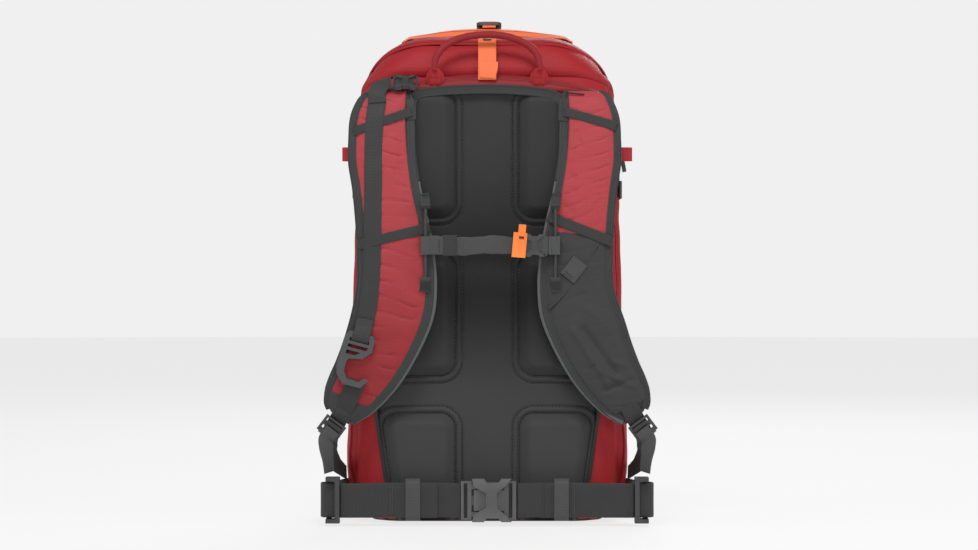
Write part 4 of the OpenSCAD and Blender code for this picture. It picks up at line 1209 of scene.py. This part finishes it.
# ---------------------------------------------------------------- front pocket, sides and CAD parts

ZIP_X = 62    # the pocket's upright zip


def build_pocket():
    # height, half width, front
    sections = [[60, 78, 117], [70, 90, 126], [92, 99, 134], [200, 100, 134], [352, 98, 134],
                [382, 90, 128], [396, 76, 117], [398, 70, 112]]
    grid = []
    for z, half, front in spline(sections, 90):
        r = min(18, max(1.5, front - 113.5))
        turn = np.radians(np.linspace(0, 90, 12))
        right = [(half, 108.5), *zip(half - r + r * np.cos(turn), front - r + r * np.sin(turn))]
        left = [(-x, y) for x, y in right[::-1]]
        middle = [(x, front) for x in np.linspace(half - r, r - half, 60)[1:-1]]
        grid.append([(x, y, z) for x, y in right + middle + left])
    grid = np.array(grid)
    x, z = grid[..., 0], grid[..., 2]
    sink = 0.8 + 1.2 * wobble(grid, 0.014, 70) + 0.5 * wobble(grid, 0.045, 71)
    sink += 2.2 * bump_line(x - ZIP_X, 8) * smoothstep(80, 100, z) * smoothstep(360, 345, z)
    grid[..., 1] -= np.clip(sink, 0, 4) * smoothstep(112, 122, grid[..., 1])
    pocket = surface("tool_pocket_fabric", grid, RED, "pack")
    stands_for(pocket, "tool_pocket", slot="red_ripstop", fill=0.6)
    rim = np.concatenate([grid[:, 0], grid[-1], grid[::-1, -1], grid[0, ::-1]]) + [0, 2.6, 0]
    tube("tool_pocket_piping", rim[::2], 1.2, RED, "pack", curve=False, segments=8)
    # the zip: two tapes, a groove between them and coil turns across it
    zs = np.linspace(96, 348, 80)
    for k, word in ((-1, "a"), (1, "b")):
        tape = [np.column_stack([np.full(80, ZIP_X + k * w), np.full(80, y), zs])
                for w, y in ((6.5, 133.6), (5.8, 135.0), (1.4, 135.3), (1.0, 134.6))]
        strip = surface("tool_zip_tape_" + word, tape, EDGE, "pack")
        thicken(strip, 0.0007)
        if k < 0:
            stands_for(strip, "tool_zip", slot="zip")
        edge = ZIP_X + k * 4.8
        stitches("tool_zip_stitching_" + word, [[(edge, 135.6, 98), (edge, 135.6, 346)]], "pack",
                 out=(0, 1, 0), **RED_ROW)
    turns = [[(ZIP_X - 2.1, 135.4, z), (ZIP_X + 2.1, 135.4, z + 0.6)] for z in np.arange(98, 346, 1.5)]
    stitches("tool_zip_coil", turns, "pack", ZIP, pitch=1, length=3.2, width=0.95, lift=0.8, out=(0, 1, 0))


def side_path(x_sign, z, y0, y1, lift):
    """A level path round the bag's side between two depths."""
    s = np.array(BAG, float)
    half, back, front, r_back, r_front = (np.interp(z, s[:, 0], s[:, k]) for k in range(2, 7))
    xy = outline(half + lift, back - lift, front + lift, r_back + lift, r_front + lift)
    keep = xy[(xy[:, 0] * x_sign > 60) & (xy[:, 1] > y0) & (xy[:, 1] < y1)]
    keep = keep[np.argsort(keep[:, 1])]
    return np.column_stack([keep, np.full(len(keep), z)])


CORNER_X, CORNER_Y = 91, 50    # centre of the bag's front corner at the straps
LOCK_TURN = 0.5585    # how far the ladder locks are turned round it, in radians
BOX_FACES = ((0, 1, 3, 2), (4, 6, 7, 5), (0, 4, 5, 1), (2, 3, 7, 6), (0, 2, 6, 4), (1, 5, 7, 3))


def ladder_lock(name, side):
    """Two side bars and three cross bars, on the rounded front corner. side is -1 or 1."""
    c, s = math.cos(LOCK_TURN), math.sin(LOCK_TURN)
    points, faces = [], []
    bars = [(-11, 11, z, z + 2.4) for z in (355.6, 378)] + [(y, y + 3.2, 357, 379) for y in (-11, -2, 7.8)]
    for y0, y1, z0, z1 in bars:
        faces += [tuple(len(points) + i for i in f) for f in BOX_FACES]
        points += [(side * (CORNER_X + c * reach - s * y), CORNER_Y + s * reach + c * y, z)
                   for reach in (60.4, 64.4) for y in (y0, y1) for z in (z0, z1)]
    lock = piece(name, points, faces, PLASTIC, "pack", smooth=False)
    bevel = lock.modifiers.new("edge", "BEVEL")
    bevel.width, bevel.segments = 0.0007, 3


def build_sides():
    for side, word in SIDES:
        path = side_path(side, STRAP_Z, -66, 104, 1.0)
        web = ribbon("compression_web_" + word, path, UP, 19.5, 1.6, WEB, "pack", count=90)
        # the free end and the ladder lock, both round the front corner: angle, distance, height
        free = []
        for angle, reach, z in ((37, 61.8, 368), (44, 63.4, 368), (54, 62.6, 366), (64, 61.8, 361),
                                (72, 61.2, 354)):
            a = math.radians(angle)
            free.append((side * (CORNER_X + reach * math.cos(a)), CORNER_Y + reach * math.sin(a), z))
        ribbon("compression_tail_" + word, free, UP, 18, 1.5, WEB_GREY, "pack")
        ladder_lock("compression_lock_" + word, side)
        # red tab above the strap, and the ice axe loops
        tab = [(side * x, y, 409) for x, y in ((147.5, -20.5), (153, -21.4), (160, -20.8), (162.6, -18),
                                               (160, -15.2), (153, -14.6), (147.5, -15.4))]
        loop = ribbon("side_tab_" + word, tab, UP, 15.6, 1.7, ROSE, "pack", count=50)
        axe = [(side * x, y, 47) for x, y in ((66, 109.6), (61, 112), (56, 117), (52, 118), (47, 117),
                                              (43, 112), (38, 109.6))]
        ribbon("axe_loop_" + word, axe, UP, 19.5, 1.5, WEB, "pack", count=60)
        if side < 0:
            stands_for(loop, "gear_loops", slot="webbing")
            stands_for(web, "side_webbing", slot="webbing")


FINISHES = {
    BUCKLE: ["hip_buckle_female", "hip_buckle_male"],
    HOOK: ["carry_hook"],
    WHISTLE: ["whistle", "tool_zip_pull"],
    STAY: ["frame_stays"],
    SHEET: ["frame_sheet"],
}


def finish_cad():
    chosen = {n: m for m, names in FINISHES.items() for n in names}
    for name, node in CAD.items():
        if node.hide_render:
            continue
        node.data.materials.clear()
        node.data.materials.append(chosen.get(name, PLASTIC))
        if name in ("frame_sheet", "frame_stays"):
            continue
        # rounded edges, which carry the plastic parts' painted edge highlight: wider on the large buckle,
        # finer on the small parts
        bevel = node.modifiers.new("edge", "BEVEL")
        bevel.width = 0.0011 if name.startswith("hip") else 0.0007 if "hook" in name else 0.0004
        bevel.segments = 3
        bevel.limit_method = "ANGLE"
        bevel.angle_limit = math.radians(35)
        bevel.harden_normals = True


make_stage()
BAG_RINGS = build_bag()
LID_RINGS = build_lid()
build_zips(BAG_RINGS, LID_RINGS)
build_back_panel()
build_straps()
build_carry()
build_yoke()
build_handle()
build_tabs()
build_chest()
build_belt()
build_pocket()
build_sides()
finish_cad()
